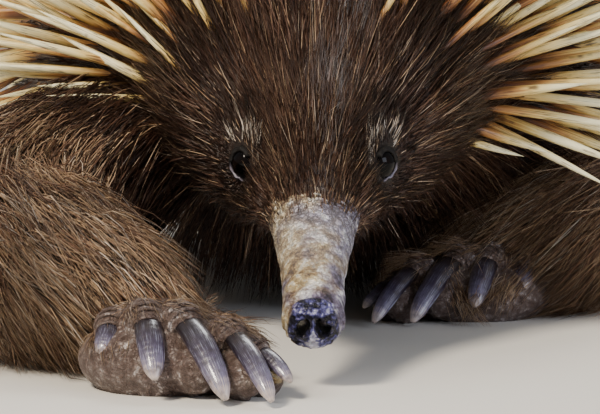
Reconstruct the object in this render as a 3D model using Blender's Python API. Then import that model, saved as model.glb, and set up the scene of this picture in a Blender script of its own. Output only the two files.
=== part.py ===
"""A life-size short-beaked echidna that noses along the ground with its right forepaw out in front.

The trunk is one loft along a bent centre line, parted by thin gaps into beak, head, neck, torso and tail.
The legs are lofts cut to fit the trunk, and each paw carries five claws of its own. Spines grow in rows on
the neck, torso and tail, and locks of long hair on the head, neck, flanks and legs. Each coat is fused to
what it grows from and kept clear of every other node. The animal faces -Y and its left side is at +X.
"""
import math
import random
from collections import namedtuple

import bmesh
import bpy
import numpy as np
from mathutils import Matrix, Vector
from mathutils.bvhtree import BVHTree

MM = 0.001
# The gap between touching nodes, a cut a little wider than that, and how near a Boolean's corners are joined.
GAP = 0.3 * MM
FIT = 0.4 * MM
WELD = 0.003 * MM
SEED = 11

# The head: how far it pitches down, how high the nose is held, and its length to the neck, in mm.
HEAD_PITCH = math.radians(28)
NOSE_HEIGHT = 12.7
HEAD_LENGTH = 105.0
NECK_Y = -97.0

# Half width, rise and drop at a distance behind the nose, in mm.
HEAD_SECTIONS = [
    (0.0, 3.0, 2.6, 2.6),
    (1.2, 5.2, 4.7, 4.7),
    (4.0, 6.5, 6.0, 6.0),
    (9.0, 6.9, 6.3, 6.3),
    (17.0, 6.9, 6.2, 6.2),
    (28.0, 7.9, 7.2, 7.0),
    (40.0, 9.5, 8.9, 8.3),
    (49.0, 11.3, 11.0, 10.0),
    (56.0, 14.2, 14.0, 12.0),
    (63.0, 18.4, 17.5, 14.8),
    (72.0, 22.8, 21.5, 18.0),
    (82.0, 27.2, 26.0, 21.5),
    (94.0, 31.8, 30.5, 25.0),
    (105.0, 36.0, 34.0, 28.0),
]
# Y, height of the centre line, half width, rise and drop behind the head, in mm.
BODY_SECTIONS = [
    (-80.0, 67.0, 46.0, 41.0, 34.0),
    (-55.0, 69.0, 60.0, 51.0, 42.0),
    (-20.0, 68.0, 73.0, 60.0, 47.0),
    (25.0, 66.0, 81.0, 66.0, 48.0),
    (70.0, 64.0, 79.0, 64.0, 46.0),
    (110.0, 60.0, 67.0, 54.0, 41.0),
    (138.0, 54.0, 49.0, 41.0, 33.0),
    (155.0, 48.0, 31.0, 28.0, 24.0),
    (168.0, 43.0, 17.0, 16.0, 14.0),
    (182.0, 39.0, 10.0, 9.0, 9.0),
    (190.0, 37.0, 4.0, 4.0, 4.0),
]
# Where the trunk is parted, measured from the nose along its centre line, in mm.
BEAK_END = 49.0
HEAD_END = 100.0
NECK_END = 142.0
TORSO_END = 372.0

# The eye and ear: distance behind the nose in mm, and angle round the head above the horizontal.
EYE_AT, EYE_ANGLE, EYE_RADIUS, EYE_SUNK = 62.0, math.radians(16), 4.3, 2.4
LID_RADIUS, LID_THICKNESS = 3.9, 1.1
EAR_AT, EAR_ANGLE = 86.0, math.radians(18)
EAR_HEIGHT, EAR_LENGTH, EAR_DEPTH, EAR_WALL = 8.0, 5.0, 4.5, 1.4
NOSTRIL_ACROSS, NOSTRIL_RISE, NOSTRIL_RADIUS, NOSTRIL_DEPTH = 2.2, 1.7, 1.3, 4.0
MOUTH_DROP, MOUTH_GAP, MOUTH_LENGTH, LIP_WIDTH, LIP_HEIGHT = 3.0, 0.7, 7.0, 6.5, 1.2

# A spine: half its thickness at the root and at its stoutest, which is this share of the way out, in mm.
SPINE_ROOT, SPINE_BELLY, SPINE_STOUTEST, SPINE_SUNK = 1.9, 2.5, 0.42, 3.5
# A lock: its half width and thickness, where it is widest and how deep its root is sunk, in mm.
LOCK_HALF_WIDTH, LOCK_THICKNESS, LOCK_WIDEST, LOCK_SUNK = 6.6, 2.2, 0.55, 3.0
# Locks that would reach the floor bend to lie this high over it, in mm.
FLOOR_CLEARANCE = 1.6
# How much further a spike is raised, in radians, until it clears the other nodes.
RAISES = (0.0, 0.12, 0.25, 0.4, 0.55, 0.75)

# Where a coat grows: from and to along the trunk and the spacing of its spikes, in mm, and the angles that it
# covers round the left side and the top, in degrees. A patch below the back grows alike on both sides.
Patch = namedtuple("Patch", "start end spacing low high")
BACK_SPINES = Patch(NECK_END + 4.0, TORSO_END - 3.0, 15.2, -16, 196)
NAPE_SPINES = Patch(NECK_END - 30.0, NECK_END - 1.0, 15.2, -8, 188)
TAIL_SPINES = Patch(TORSO_END + 4.0, TORSO_END + 16.0, 10.0, 0, 306)
FLANK_LOCKS = Patch(NECK_END + 8.0, TORSO_END - 20.0, 15.5, -52, -26)
NAPE_LOCKS = Patch(HEAD_END + 5.0, NECK_END - 8.0, 14.0, 20, 160)
THROAT_LOCKS = Patch(HEAD_END + 4.0, NECK_END - 4.0, 13.0, -75, -14)
CROWN_LOCKS = Patch(EYE_AT + 10.0, HEAD_END - 3.0, 12.0, 42, 138)
CHEEK_LOCKS = Patch(EYE_AT + 8.0, HEAD_END - 3.0, 11.0, -62, -12)

# A lock's style: its length and how far its tip falls, in mm, its lift in radians and its relative width.
Style = namedtuple("Style", "length fall lift wide")
CROWN_HAIR = Style(22.0, 0.0, 0.3, 0.75)
CHEEK_HAIR = Style(17.0, 1.0, 0.6, 0.7)
NAPE_HAIR = Style(24.0, 0.0, 0.42, 0.85)
THROAT_HAIR = Style(20.0, 3.0, 0.55, 1.0)
FLANK_HAIR = Style(26.0, 5.0, 0.35, 1.2)
# Leg hair shortens from the shoulder or hip to the paw, and grows between these shares of the leg.
LEG_HAIR = Style(36.0, 6.0, 0.38, 1.0)
LEG_HAIR_LOSS, LEG_HAIR_START, LEG_HAIR_END, LEG_HAIR_SPACING = 16.0, 0.16, 0.88, 15.5

# Back spines: the shortest length, what the middle of the body and the ridge of the back add, in mm, the lift
# at the neck and how much of it is lost by the tail, in degrees, and the sweep down the flank, in radians.
BACK_LENGTH, BACK_MIDDLE, BACK_RIDGE = 38.0, 9.0, 6.0
BACK_LIFT, BACK_LIFT_LOSS, BACK_SWEEP = 52.0, 26.0, 0.25
NAPE_LENGTH, NAPE_LIFT = 37.0, math.radians(56)
TAIL_LENGTH, TAIL_LIFT = 26.0, math.radians(24)

# Rings and sides of each loft.
BEAK_MESH, HEAD_MESH, NECK_MESH, TORSO_MESH, TAIL_MESH = (12, 14), (12, 24), (5, 22), (13, 22), (5, 12)
LEG_MESH, PAD_MESH, TOE_MESH, CLAW_MESH = (9, 11), (8, 12), (3, 6), (5, 6)


def clear_scene():
    for obj in list(bpy.data.objects):
        bpy.data.objects.remove(obj)


def material(name, colour, roughness):
    made = bpy.data.materials.new(name)
    made.use_nodes = True
    shader = made.node_tree.nodes["Principled BSDF"]
    shader.inputs["Base Color"].default_value = (*colour, 1.0)
    shader.inputs["Roughness"].default_value = roughness
    shader.inputs["Metallic"].default_value = 0.0
    return made


def head_stations():
    """The head's sections set along its pitched centre line, from the nose back to the neck."""
    back = Vector((0.0, math.cos(HEAD_PITCH), math.sin(HEAD_PITCH)))
    nose = Vector((0.0, NECK_Y - HEAD_LENGTH * back.y, NOSE_HEIGHT))
    return [(*(nose + back * at), wide, rise, drop) for at, wide, rise, drop in HEAD_SECTIONS]


def body_stations():
    return [(0.0, y, z, wide, rise, drop) for y, z, wide, rise, drop in BODY_SECTIONS]


class Loft:
    """A tapering body along a smooth line. A station is x, y, z, half width, rise and drop, in mm."""

    def __init__(self, stations, side=(1.0, 0.0, 0.0)):
        self.rows = np.array(stations, float) * MM
        chords = np.linalg.norm(np.diff(self.rows[:, :3], axis=0), axis=1)
        self.at = np.concatenate([[0.0], np.cumsum(chords)])
        self.length = float(self.at[-1])
        self.slopes = np.gradient(self.rows, self.at, axis=0)
        self.side = Vector(side)

    def row(self, s):
        """Centre, half width, rise and drop at the distance s, on a cubic through the stations."""
        i = int(np.clip(np.searchsorted(self.at, s) - 1, 0, len(self.at) - 2))
        h = self.at[i + 1] - self.at[i]
        t = (s - self.at[i]) / h
        return (
            (1 + 2 * t) * (1 - t) ** 2 * self.rows[i]
            + t * (1 - t) ** 2 * h * self.slopes[i]
            + t * t * (3 - 2 * t) * self.rows[i + 1]
            + t * t * (t - 1) * h * self.slopes[i + 1]
        )

    def frame(self, s):
        """The centre at s with the unit vectors to the side, up and along the line."""
        step = 0.5 * MM
        ahead = Vector(self.row(min(s + step, self.length))[:3])
        along = (ahead - Vector(self.row(max(s - step, 0.0))[:3])).normalized()
        side = (self.side - along * self.side.dot(along)).normalized()
        return Vector(self.row(s)[:3]), side, side.cross(along), along

    def point(self, s, angle, grow=0.0):
        centre, side, up, _ = self.frame(s)
        wide, rise, drop = self.row(s)[3:]
        height = rise if math.sin(angle) >= 0 else drop
        return centre + side * ((wide + grow) * math.cos(angle)) + up * ((height + grow) * math.sin(angle))

    def normal(self, s, angle):
        step = 0.5 * MM
        along = self.point(min(s + step, self.length), angle) - self.point(max(s - step, 0.0), angle)
        around = self.point(s, angle + 0.01) - self.point(s, angle - 0.01)
        return along.cross(around).normalized()

    def solid(self, start, end, mesh, grow=0.0):
        """The closed piece of the loft between two distances, with as many rings and sides as mesh says."""
        bm = bmesh.new()
        rings, sides = mesh
        turn = 2 * math.pi / sides
        loops = [
            [bm.verts.new(self.point(s, k * turn, grow)) for k in range(sides)]
            for s in np.linspace(start, end, rings)
        ]
        for near, far in zip(loops, loops[1:]):
            for k in range(sides):
                after = (k + 1) % sides
                bm.faces.new((near[k], near[after], far[after], far[k]))
        bm.faces.new(loops[0])
        bm.faces.new(loops[-1])
        bmesh.ops.recalc_face_normals(bm, faces=bm.faces)
        return bm

    def whole(self, mesh, grow=0.0):
        return self.solid(0.0, self.length, mesh, grow)


def sprout(path, halves, across):
    """A closed spike of three sides along a path that ends in its tip.

    Every point but the tip has its half width and thickness, in mm, and the underside is flat.
    """
    bm = bmesh.new()
    loops = []
    for k, (spot, (wide, thick)) in enumerate(zip(path, halves)):
        along = (path[k + 1] - path[max(k - 1, 0)]).normalized()
        side = (across - along * across.dot(along)).normalized()
        face = side.cross(along)
        under = face * (-thick / 3)
        corners = (under + side * wide, face * (thick * 2 / 3), under - side * wide)
        loops.append([bm.verts.new(spot + corner * MM) for corner in corners])
    tip = bm.verts.new(path[-1])
    bm.faces.new(loops[0])
    for near, far in zip(loops, loops[1:]):
        for k in range(3):
            after = (k + 1) % 3
            bm.faces.new((near[k], near[after], far[after]))
            bm.faces.new((near[k], far[after], far[k]))
    for k in range(3):
        bm.faces.new((loops[-1][k], loops[-1][(k + 1) % 3], tip))
    bmesh.ops.recalc_face_normals(bm, faces=bm.faces)
    return bm


def node(name, bm, look):
    """The named object that holds this mesh."""
    mesh = bpy.data.meshes.new(name)
    bm.to_mesh(mesh)
    bm.free()
    mesh.shade_smooth()
    obj = bpy.data.objects.new(name, mesh)
    obj.data.materials.append(look)
    bpy.context.scene.collection.objects.link(obj)
    return obj


def keep_largest(bm):
    """Leaves only the closed surface that holds the most area."""
    bm.faces.ensure_lookup_table()
    left, shells = set(bm.faces), []
    while left:
        shell, reached = set(), [left.pop()]
        while reached:
            face = reached.pop()
            shell.add(face)
            for edge in (edge for edge in face.edges if len(edge.link_faces) == 2):
                for other in edge.link_faces:
                    if other in left:
                        left.remove(other)
                        reached.append(other)
        shells.append(shell)
    shells.sort(key=lambda faces: sum(face.calc_area() for face in faces))
    spare = [face for shell in shells[:-1] for face in shell]
    bmesh.ops.delete(bm, geom=spare, context="FACES")


def combine(obj, pieces, operation):
    """Joins or cuts the object by closed meshes in one Boolean and keeps its largest closed surface."""
    group = bpy.data.collections.new("pieces")
    bpy.context.scene.collection.children.link(group)
    for bm in pieces:
        mesh = bpy.data.meshes.new("piece")
        bm.to_mesh(mesh)
        bm.free()
        group.objects.link(bpy.data.objects.new("piece", mesh))
    boolean = obj.modifiers.new("combine", "BOOLEAN")
    boolean.operation = operation
    boolean.operand_type = "COLLECTION"
    boolean.collection = group
    result = bpy.data.meshes.new_from_object(obj.evaluated_get(bpy.context.evaluated_depsgraph_get()))
    obj.modifiers.remove(boolean)
    for piece in list(group.objects):
        bpy.data.objects.remove(piece)
    bpy.data.collections.remove(group)
    bm = bmesh.new()
    bm.from_mesh(result)
    bmesh.ops.remove_doubles(bm, verts=bm.verts, dist=WELD)
    bmesh.ops.dissolve_degenerate(bm, edges=bm.edges, dist=WELD)
    bmesh.ops.triangulate(bm, faces=bm.faces)
    keep_largest(bm)
    bm.to_mesh(obj.data)
    bm.free()


class Surroundings:
    """All the nodes but one, which that one's coat has to stay clear of."""

    STEP = 2 * MM
    DEEPEST = 8 * MM

    def __init__(self, grown):
        self.trees = []
        for obj in bpy.data.objects:
            if obj is not grown:
                corners = [vertex.co for vertex in obj.data.vertices]
                faces = [face.vertices for face in obj.data.polygons]
                self.trees.append(BVHTree.FromPolygons(corners, faces))

    def clear_of(self, spot, radius):
        """Whether a ball at the spot keeps the gap to every node and to the floor."""
        for tree in self.trees:
            near, normal, _, away = tree.find_nearest(spot)
            inside = (spot - near).dot(normal) < 0.0 and away < self.DEEPEST
            if inside or away < radius + GAP:
                return False
        return spot.z > radius + GAP

    def clear_along(self, path, across, halves):
        """Whether a spike along this path, with half widths and thicknesses in mm, stays clear of all."""
        for k, (wide, thick) in enumerate(halves):
            steps = max(2, int((path[k + 1] - path[k]).length / self.STEP))
            for step in range(steps + 1):
                spot = path[k].lerp(path[k + 1], step / steps)
                half = wide if k + 1 < len(halves) else wide * (1 - step / steps)
                for offset in (-half, 0.0, half):
                    if not self.clear_of(spot + across * (offset * MM), thick * MM):
                        return False
        return True


def coat_directions(loft, s, angle):
    """The unit vectors along the lie of the coat, round the body and out of it, at a place on a loft."""
    step = 0.5 * MM
    ahead, behind = loft.point(min(s + step, loft.length), angle), loft.point(max(s - step, 0.0), angle)
    along, out = (ahead - behind).normalized(), loft.normal(s, angle)
    return along, out.cross(along), out


def spread(loft, patch):
    """Places in staggered rows over a patch of a loft, as the distance along it and the angle round it."""
    low, high = math.radians(patch.low), math.radians(patch.high)
    for row, s in enumerate(np.arange(patch.start, patch.end, patch.spacing) * MM):
        corners = [loft.point(s, a) for a in np.linspace(low, high, 20)]
        girth = sum((b - a).length for a, b in zip(corners, corners[1:]))
        count = max(2, round(girth / (patch.spacing * MM)))
        shift = 0.5 if row % 2 else 0.0
        for k in range(count):
            yield s, low + (high - low) * (k + 0.25 + shift) / count


def both_sides(patch):
    """A patch of the left side and its mirror image on the right."""
    return patch, patch._replace(low=180 - patch.high, high=180 - patch.low)


class Coat:
    """What grows on one node: spikes gathered while they are planted, then fused to it."""

    PLACE_JITTER, ANGLE_JITTER, SWEEP_JITTER, LENGTH_JITTER, LIFT_JITTER = 1.4 * MM, 0.03, 0.12, 0.14, 0.08

    def __init__(self, loft, obj, seed):
        self.loft = loft
        self.obj = obj
        self.around = Surroundings(obj)
        self.draw = random.Random(seed)
        self.pieces = []

    def jitter(self, most):
        return self.draw.uniform(-most, most)

    def plant(self, s, angle, sweep, lift, route, halves):
        """Grows one spike at a place on the loft, raised as little past its lift as clears the other nodes.

        It leans back along the coat, round the body by its sweep and out of it by its lift, in radians. The
        route makes its path from the root, that direction and the outward one.
        """
        s += self.jitter(self.PLACE_JITTER)
        angle += self.jitter(self.ANGLE_JITTER)
        sweep += self.jitter(self.SWEEP_JITTER)
        lift += self.jitter(self.LIFT_JITTER)
        along, around, out = coat_directions(self.loft, s, angle)
        flat = along * math.cos(sweep) + around * math.sin(sweep)
        for more in RAISES:
            tilt = min(lift + more, math.pi / 2)
            path = route(self.loft.point(s, angle), flat * math.cos(tilt) + out * math.sin(tilt), out)
            if self.around.clear_along(path, around, halves):
                self.pieces.append(sprout(path, halves, around))
                return

    def spine(self, s, angle, length, lift, sweep=0.0):
        """A straight round spine, a little swollen, that ends in a point."""
        length *= 1.0 + self.jitter(self.LENGTH_JITTER)

        def route(root, lean, _):
            return [root + lean * (reach * MM) for reach in (-SPINE_SUNK, SPINE_STOUTEST * length, length)]

        halves = [(half, half * math.sqrt(3)) for half in (SPINE_ROOT, SPINE_BELLY)]
        self.plant(s, angle, sweep, lift, route, halves)

    def lock(self, s, angle, style):
        """A flat lock of hair that bends down to its tip."""
        length = style.length * (1.0 + self.jitter(self.LENGTH_JITTER))

        def route(root, lean, out):
            path = [root - (lean + out).normalized() * (LOCK_SUNK * MM)]
            for share in (LOCK_WIDEST, 1.0):
                fallen = Vector((0.0, 0.0, style.fall * share * share))
                spot = root + (lean * (length * share) - fallen) * MM
                spot.z = max(spot.z, FLOOR_CLEARANCE * MM)
                path.append(spot)
            return path

        half = LOCK_HALF_WIDTH * style.wide
        halves = [(half * 0.8, LOCK_THICKNESS), (half, LOCK_THICKNESS * 0.85)]
        self.plant(s, angle, 0.0, style.lift, route, halves)

    def locks(self, patch, style):
        for s, angle in spread(self.loft, patch):
            self.lock(s, angle, style)

    def fuse(self):
        combine(self.obj, self.pieces, "UNION")


def set_on_floor(bm):
    """Flattens what would reach below the floor into a level sole."""
    for vertex in bm.verts:
        vertex.co.z = max(vertex.co.z, 0.0)
    return bm


def ellipsoid(centre, axes, radii, segments=10, rings=7):
    """A closed ellipsoid with its three radii, in mm, along the given unit vectors."""
    bm = bmesh.new()
    bmesh.ops.create_uvsphere(bm, u_segments=segments, v_segments=rings, radius=1.0)
    turn = Matrix([axis * (radius * MM) for axis, radius in zip(axes, radii)]).transposed()
    bmesh.ops.transform(bm, matrix=Matrix.Translation(centre) @ turn.to_4x4(), verts=bm.verts)
    bmesh.ops.recalc_face_normals(bm, faces=bm.faces)
    return bm


def ring(centre, normal, radius, thickness, segments=12, sides=5):
    """A closed round ring that lies across the normal, with its radius and thickness in mm."""
    turn = normal.to_track_quat("Z", "Y").to_matrix()
    bm = bmesh.new()
    loops = []
    for i in range(segments):
        around = 2 * math.pi * i / segments
        out = turn @ Vector((math.cos(around), math.sin(around), 0.0))
        middle = centre + out * (radius * MM)
        spokes = [2 * math.pi * k / sides for k in range(sides)]
        half = thickness / 2 * MM
        turned = [out * math.cos(spoke) + normal * math.sin(spoke) for spoke in spokes]
        loops.append([bm.verts.new(middle + direction * half) for direction in turned])
    for i in range(segments):
        near, far = loops[i], loops[(i + 1) % segments]
        for k in range(sides):
            after = (k + 1) % sides
            bm.faces.new((near[k], near[after], far[after], far[k]))
    bmesh.ops.recalc_face_normals(bm, faces=bm.faces)
    return bm


def box(centre, axes, lengths):
    """A closed block with its full lengths, in mm, along the given unit vectors."""
    bm = bmesh.new()
    bmesh.ops.create_cube(bm, size=1.0)
    turn = Matrix([axis * (length * MM) for axis, length in zip(axes, lengths)]).transposed()
    bmesh.ops.transform(bm, matrix=Matrix.Translation(centre) @ turn.to_4x4(), verts=bm.verts)
    bmesh.ops.recalc_face_normals(bm, faces=bm.faces)
    return bm


TRUNK = Loft(head_stations() + body_stations())


def on_head(at, angle, right):
    """The point and the outward normal on the head's surface, on the right or the left side."""
    angle = math.pi - angle if right else angle
    return TRUNK.point(at * MM, angle), TRUNK.normal(at * MM, angle)


def build_beak(look):
    """The bare snout, with two nostrils at its end and the slit of the small mouth between its lips."""
    beak = node("beak", TRUNK.solid(0.0, BEAK_END * MM, BEAK_MESH), look)
    centre, side, up, along = TRUNK.frame(0.0)
    lips = centre - up * (MOUTH_DROP * MM) + along * (MOUTH_LENGTH * MM)
    lip_radii = (LIP_WIDTH, MOUTH_LENGTH + 0.3, LIP_HEIGHT)
    combine(beak, [ellipsoid(lips, (side, along, up), lip_radii)], "UNION")
    cuts = []
    nostril = (NOSTRIL_RADIUS, NOSTRIL_RADIUS * 1.3, NOSTRIL_DEPTH)
    for across in (-NOSTRIL_ACROSS, NOSTRIL_ACROSS):
        rim = centre + side * (across * MM) + up * (NOSTRIL_RISE * MM)
        cuts.append(ellipsoid(rim, (side, up, along), nostril, 8, 6))
    slit = centre - up * (MOUTH_DROP * MM) + along * (MOUTH_LENGTH / 2 * MM)
    cuts.append(box(slit, (side, along, up), (LIP_WIDTH * 3, MOUTH_LENGTH + 2.0, MOUTH_GAP)))
    combine(beak, cuts, "DIFFERENCE")


def build_head(look):
    """The head from the beak's root to behind the ears, with lids round each eye socket."""
    head = node("head", TRUNK.solid(BEAK_END * MM + GAP, HEAD_END * MM - GAP, HEAD_MESH), look)
    lids, sockets = [], []
    for right in (False, True):
        point, normal = on_head(EYE_AT, EYE_ANGLE, right)
        lids.append(ring(point, normal, LID_RADIUS, LID_THICKNESS * 2))
        sockets.append(eye_ball(right, GAP / MM))
    combine(head, lids, "UNION")
    combine(head, sockets, "DIFFERENCE")
    return head


def eye_ball(right, grow=0.0):
    """The ball of an eye, or its socket when it is grown by some mm."""
    point, normal = on_head(EYE_AT, EYE_ANGLE, right)
    across = normal.orthogonal().normalized()
    axes = (across, normal.cross(across), normal)
    return ellipsoid(point - normal * (EYE_SUNK * MM), axes, (EYE_RADIUS + grow,) * 3)


def build_ear(name, right, look):
    """The upright slit of an ear: a low cup set on the side of the head."""
    point, normal = on_head(EAR_AT, EAR_ANGLE, right)
    up = (TRUNK.point(EAR_AT * MM, math.pi / 2) - TRUNK.frame(EAR_AT * MM)[0]).normalized()
    up = (up - normal * up.dot(normal)).normalized()
    axes = (normal, up.cross(normal), up)
    cup = node(name, ellipsoid(point, axes, (EAR_DEPTH, EAR_LENGTH, EAR_HEIGHT)), look)
    hollow = [reach - EAR_WALL for reach in (EAR_DEPTH, EAR_LENGTH, EAR_HEIGHT)]
    inside = ellipsoid(point + normal * (EAR_WALL * 1.6 * MM), axes, hollow)
    skull = TRUNK.solid(BEAK_END * MM + GAP, HEAD_END * MM, HEAD_MESH, FIT)
    combine(cup, [inside, skull], "DIFFERENCE")


# A leg's stations from inside the body down to the paw: x, y, z, half width, rise and drop, in mm.
LEGS = {
    "foreleg_right": [
        (-30, -62, 53, 19, 24, 24), (-50, -78, 47, 18, 25, 25), (-68, -102, 38, 17, 24, 22),
        (-72, -124, 32, 17, 21, 20), (-60, -148, 25, 16, 18, 17), (-44, -166, 18, 14, 13, 12),
        (-36, -176, 13, 12, 8, 8),
    ],
    "foreleg_left": [
        (30, -32, 56, 19, 24, 24), (54, -30, 50, 19, 25, 25), (74, -28, 41, 19, 24, 23),
        (80, -34, 33, 18, 21, 20), (69, -44, 25, 16, 18, 17), (54, -52, 18, 14, 13, 12),
        (46, -55, 12, 12, 8, 8),
    ],
    "hindleg_right": [
        (-28, 92, 56, 22, 26, 24), (-52, 88, 50, 24, 26, 24), (-70, 84, 40, 23, 23, 20),
        (-76, 92, 28, 18, 18, 16), (-78, 106, 18, 14, 13, 11), (-80, 116, 12, 11, 8, 8),
    ],
    "hindleg_left": [
        (28, 70, 56, 22, 26, 24), (54, 62, 50, 24, 26, 24), (74, 56, 40, 23, 23, 20),
        (80, 62, 28, 18, 18, 16), (82, 76, 18, 14, 13, 11), (84, 86, 12, 11, 8, 8),
    ],
}

# The claws from the inner one out. Each has its root and its tip, as mm to the outside of the paw's centre,
# ahead of it and over the floor, and its half width.
FORE_CLAWS = [
    ((-20.0, 13.0, 9.0), (-27.0, 21.0, 4.0), 1.9),
    ((-14.5, 16.0, 12.5), (-23.5, 32.0, 1.6), 2.6),
    ((-4.0, 13.5, 15.0), (-13.7, 30.0, 1.6), 3.1),
    ((4.6, 12.5, 15.0), (1.8, 25.0, 5.0), 3.1),
    ((13.0, 6.8, 13.0), (14.2, 13.5, 8.5), 2.9),
]
HIND_CLAWS = [
    ((-13.0, 9.0, 8.0), (-18.0, 15.0, 3.5), 2.0),
    ((-7.0, 14.0, 10.0), (-16.0, 38.0, 2.0), 2.4),
    ((0.5, 15.0, 10.0), (-2.0, 34.0, 2.0), 2.6),
    ((8.0, 12.5, 9.5), (10.0, 24.0, 3.0), 2.3),
    ((13.5, 7.5, 8.5), (18.0, 14.0, 3.5), 2.0),
]
# A paw's pad: half width, half length and height, and how high its widest level lies, in mm.
FORE_PAD, HIND_PAD, PAD_LEVEL, PAD_DEPTH = (21.0, 20.0, 17.0), (15.0, 18.0, 13.0), 6.0, 10.0
# A toe: how much thicker than its claw, and its length inside the paw, in mm.
TOE_FLESH, TOE_LENGTH = 1.5, 13.0
# A claw's half width along it, as shares of its length and of its widest, its flatness and its bow.
CLAW_PROFILE = [(0.0, 0.95), (0.3, 1.0), (0.62, 0.92), (0.86, 0.7), (1.0, 0.3)]
CLAW_RISE, CLAW_DROP, CLAW_BOW = 0.72, 0.55, 0.09


class Paw:
    """A broad flat paw: a padded sole, five toes and the claws that grow from them.

    It heads away from -Y by an angle about +Z, and its outer toes are on the side that out names: -1 or 1.
    """

    def __init__(self, name, centre, heading, out, pad, claws):
        self.name = name
        self.centre = Vector(centre) * MM
        self.ahead = Vector((math.sin(heading), -math.cos(heading), 0.0))
        self.side = Vector((self.ahead.y, -self.ahead.x, 0.0))
        self.out = self.side * -out
        self.pad = pad
        self.claws = claws

    def place(self, across, ahead, height):
        spot = self.centre + self.out * (across * MM) + self.ahead * (ahead * MM)
        return Vector((spot.x, spot.y, height * MM))

    def pad_loft(self):
        """The sole and back of the paw as slices of a flattened ball, cut off at the floor."""
        half_width, half_length, height = self.pad
        stations = []
        for turn in (-80, -55, -28, 0, 28, 52, 72, 82):
            share = math.cos(math.radians(turn))
            spot = self.place(0.0, half_length * math.sin(math.radians(turn)), PAD_LEVEL) / MM
            reaches = (half_width, height - PAD_LEVEL, PAD_DEPTH)
            stations.append((*spot, *(reach * share for reach in reaches)))
        return Loft(stations, self.side)

    def toe_loft(self, root, tip, half_width):
        """A toe from inside the paw to the flat face that its claw meets."""
        root, tip = self.place(*root) / MM, self.place(*tip) / MM
        along = (tip - root).normalized()
        heel = root - Vector((along.x, along.y, along.z * 0.2)).normalized() * TOE_LENGTH
        thick = half_width + TOE_FLESH
        stations = [
            (*heel, thick * 0.9, thick * 0.8, thick * 0.8),
            (*(heel * 0.4 + root * 0.6), thick * 1.12, thick, thick),
            (*root, thick * 0.9, thick * 0.85, thick * 0.8),
        ]
        return Loft(stations, self.side)

    def claw_loft(self, root, tip, half_width):
        """A blunt claw, broad and a little hollow-backed, that bows down to its tip."""
        start, end = self.place(*root) / MM, self.place(*tip) / MM
        start = start + (end - start).normalized() * (GAP / MM)
        bow = Vector((0.0, 0.0, (end - start).length * CLAW_BOW))
        stations = []
        for share, wide in CLAW_PROFILE:
            spot = start.lerp(end, share) + bow * (4 * share * (1 - share))
            half = half_width * wide
            stations.append((*spot, half, half * CLAW_RISE, half * CLAW_DROP))
        return Loft(stations, self.side)

    def build(self, leg, skin, horn):
        """Makes the paw, clear of the leg above, and its claws."""
        paw = node(self.name, set_on_floor(self.pad_loft().whole(PAD_MESH)), skin)
        combine(paw, [set_on_floor(self.toe_loft(*claw).whole(TOE_MESH)) for claw in self.claws], "UNION")
        claws = [self.claw_loft(*claw) for claw in self.claws]
        combine(paw, [claw.whole(CLAW_MESH, FIT) for claw in claws], "DIFFERENCE")
        combine(paw, [leg.whole(LEG_MESH, FIT)], "DIFFERENCE")
        for number, claw in enumerate(claws, 1):
            node(f"{self.name}_claw_{number}", claw.whole(CLAW_MESH), horn)


PAWS = {
    "foreleg_right": Paw("forefoot_right", (-31, -181, 0), math.radians(-2), -1, FORE_PAD, FORE_CLAWS),
    "foreleg_left": Paw("forefoot_left", (42, -59, 0), math.radians(-6), 1, FORE_PAD, FORE_CLAWS),
    "hindleg_right": Paw("hindfoot_right", (-82, 118, 0), math.radians(-140), 1, HIND_PAD, HIND_CLAWS),
    "hindleg_left": Paw("hindfoot_left", (86, 88, 0), math.radians(140), -1, HIND_PAD, HIND_CLAWS),
}


def trunk_cutters():
    """The trunk a little grown, in the facets of its nodes but with no slits, to cut the legs by."""
    overlap = 1.0 * MM
    return [
        TRUNK.solid(BEAK_END * MM, HEAD_END * MM + overlap, HEAD_MESH, FIT),
        TRUNK.solid(HEAD_END * MM, NECK_END * MM + overlap, NECK_MESH, FIT),
        TRUNK.solid(NECK_END * MM, TORSO_END * MM, TORSO_MESH, FIT),
    ]


def build_legs(fur, skin, horn):
    """The four legs with their paws, as each leg's loft and object."""
    legs = []
    for name, stations in LEGS.items():
        loft = Loft(stations, (0.0, 0.0, 1.0))
        leg = node(name, set_on_floor(loft.solid(0.0, loft.length - GAP, LEG_MESH)), fur)
        combine(leg, trunk_cutters(), "DIFFERENCE")
        PAWS[name].build(loft, skin, horn)
        legs.append((loft, leg))
    return legs


def grow_leg_coat(loft, leg, seed):
    """Shaggy locks down the outside of a leg, shorter towards the paw."""
    coat = Coat(loft, leg, seed)
    length = loft.length / MM
    patch = Patch(LEG_HAIR_START * length, LEG_HAIR_END * length, LEG_HAIR_SPACING, 0, 360)
    for s, angle in spread(loft, patch):
        coat.lock(s, angle, LEG_HAIR._replace(length=LEG_HAIR.length - LEG_HAIR_LOSS * s / loft.length))
    coat.fuse()


def grow_head_coat(head):
    """Locks of hair that flow back over the crown and flare out from the cheeks."""
    coat = Coat(TRUNK, head, SEED)
    coat.locks(CROWN_LOCKS, CROWN_HAIR)
    for patch in both_sides(CHEEK_LOCKS):
        coat.locks(patch, CHEEK_HAIR)
    coat.fuse()


def grow_neck_coat(neck):
    """The ruff: short raised spines over the nape, with locks of hair between them and round the throat."""
    coat = Coat(TRUNK, neck, SEED + 1)
    for s, angle in spread(TRUNK, NAPE_SPINES):
        coat.spine(s, angle, NAPE_LENGTH, NAPE_LIFT)
    coat.locks(NAPE_LOCKS, NAPE_HAIR)
    for patch in both_sides(THROAT_LOCKS):
        coat.locks(patch, THROAT_HAIR)
    coat.fuse()


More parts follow.
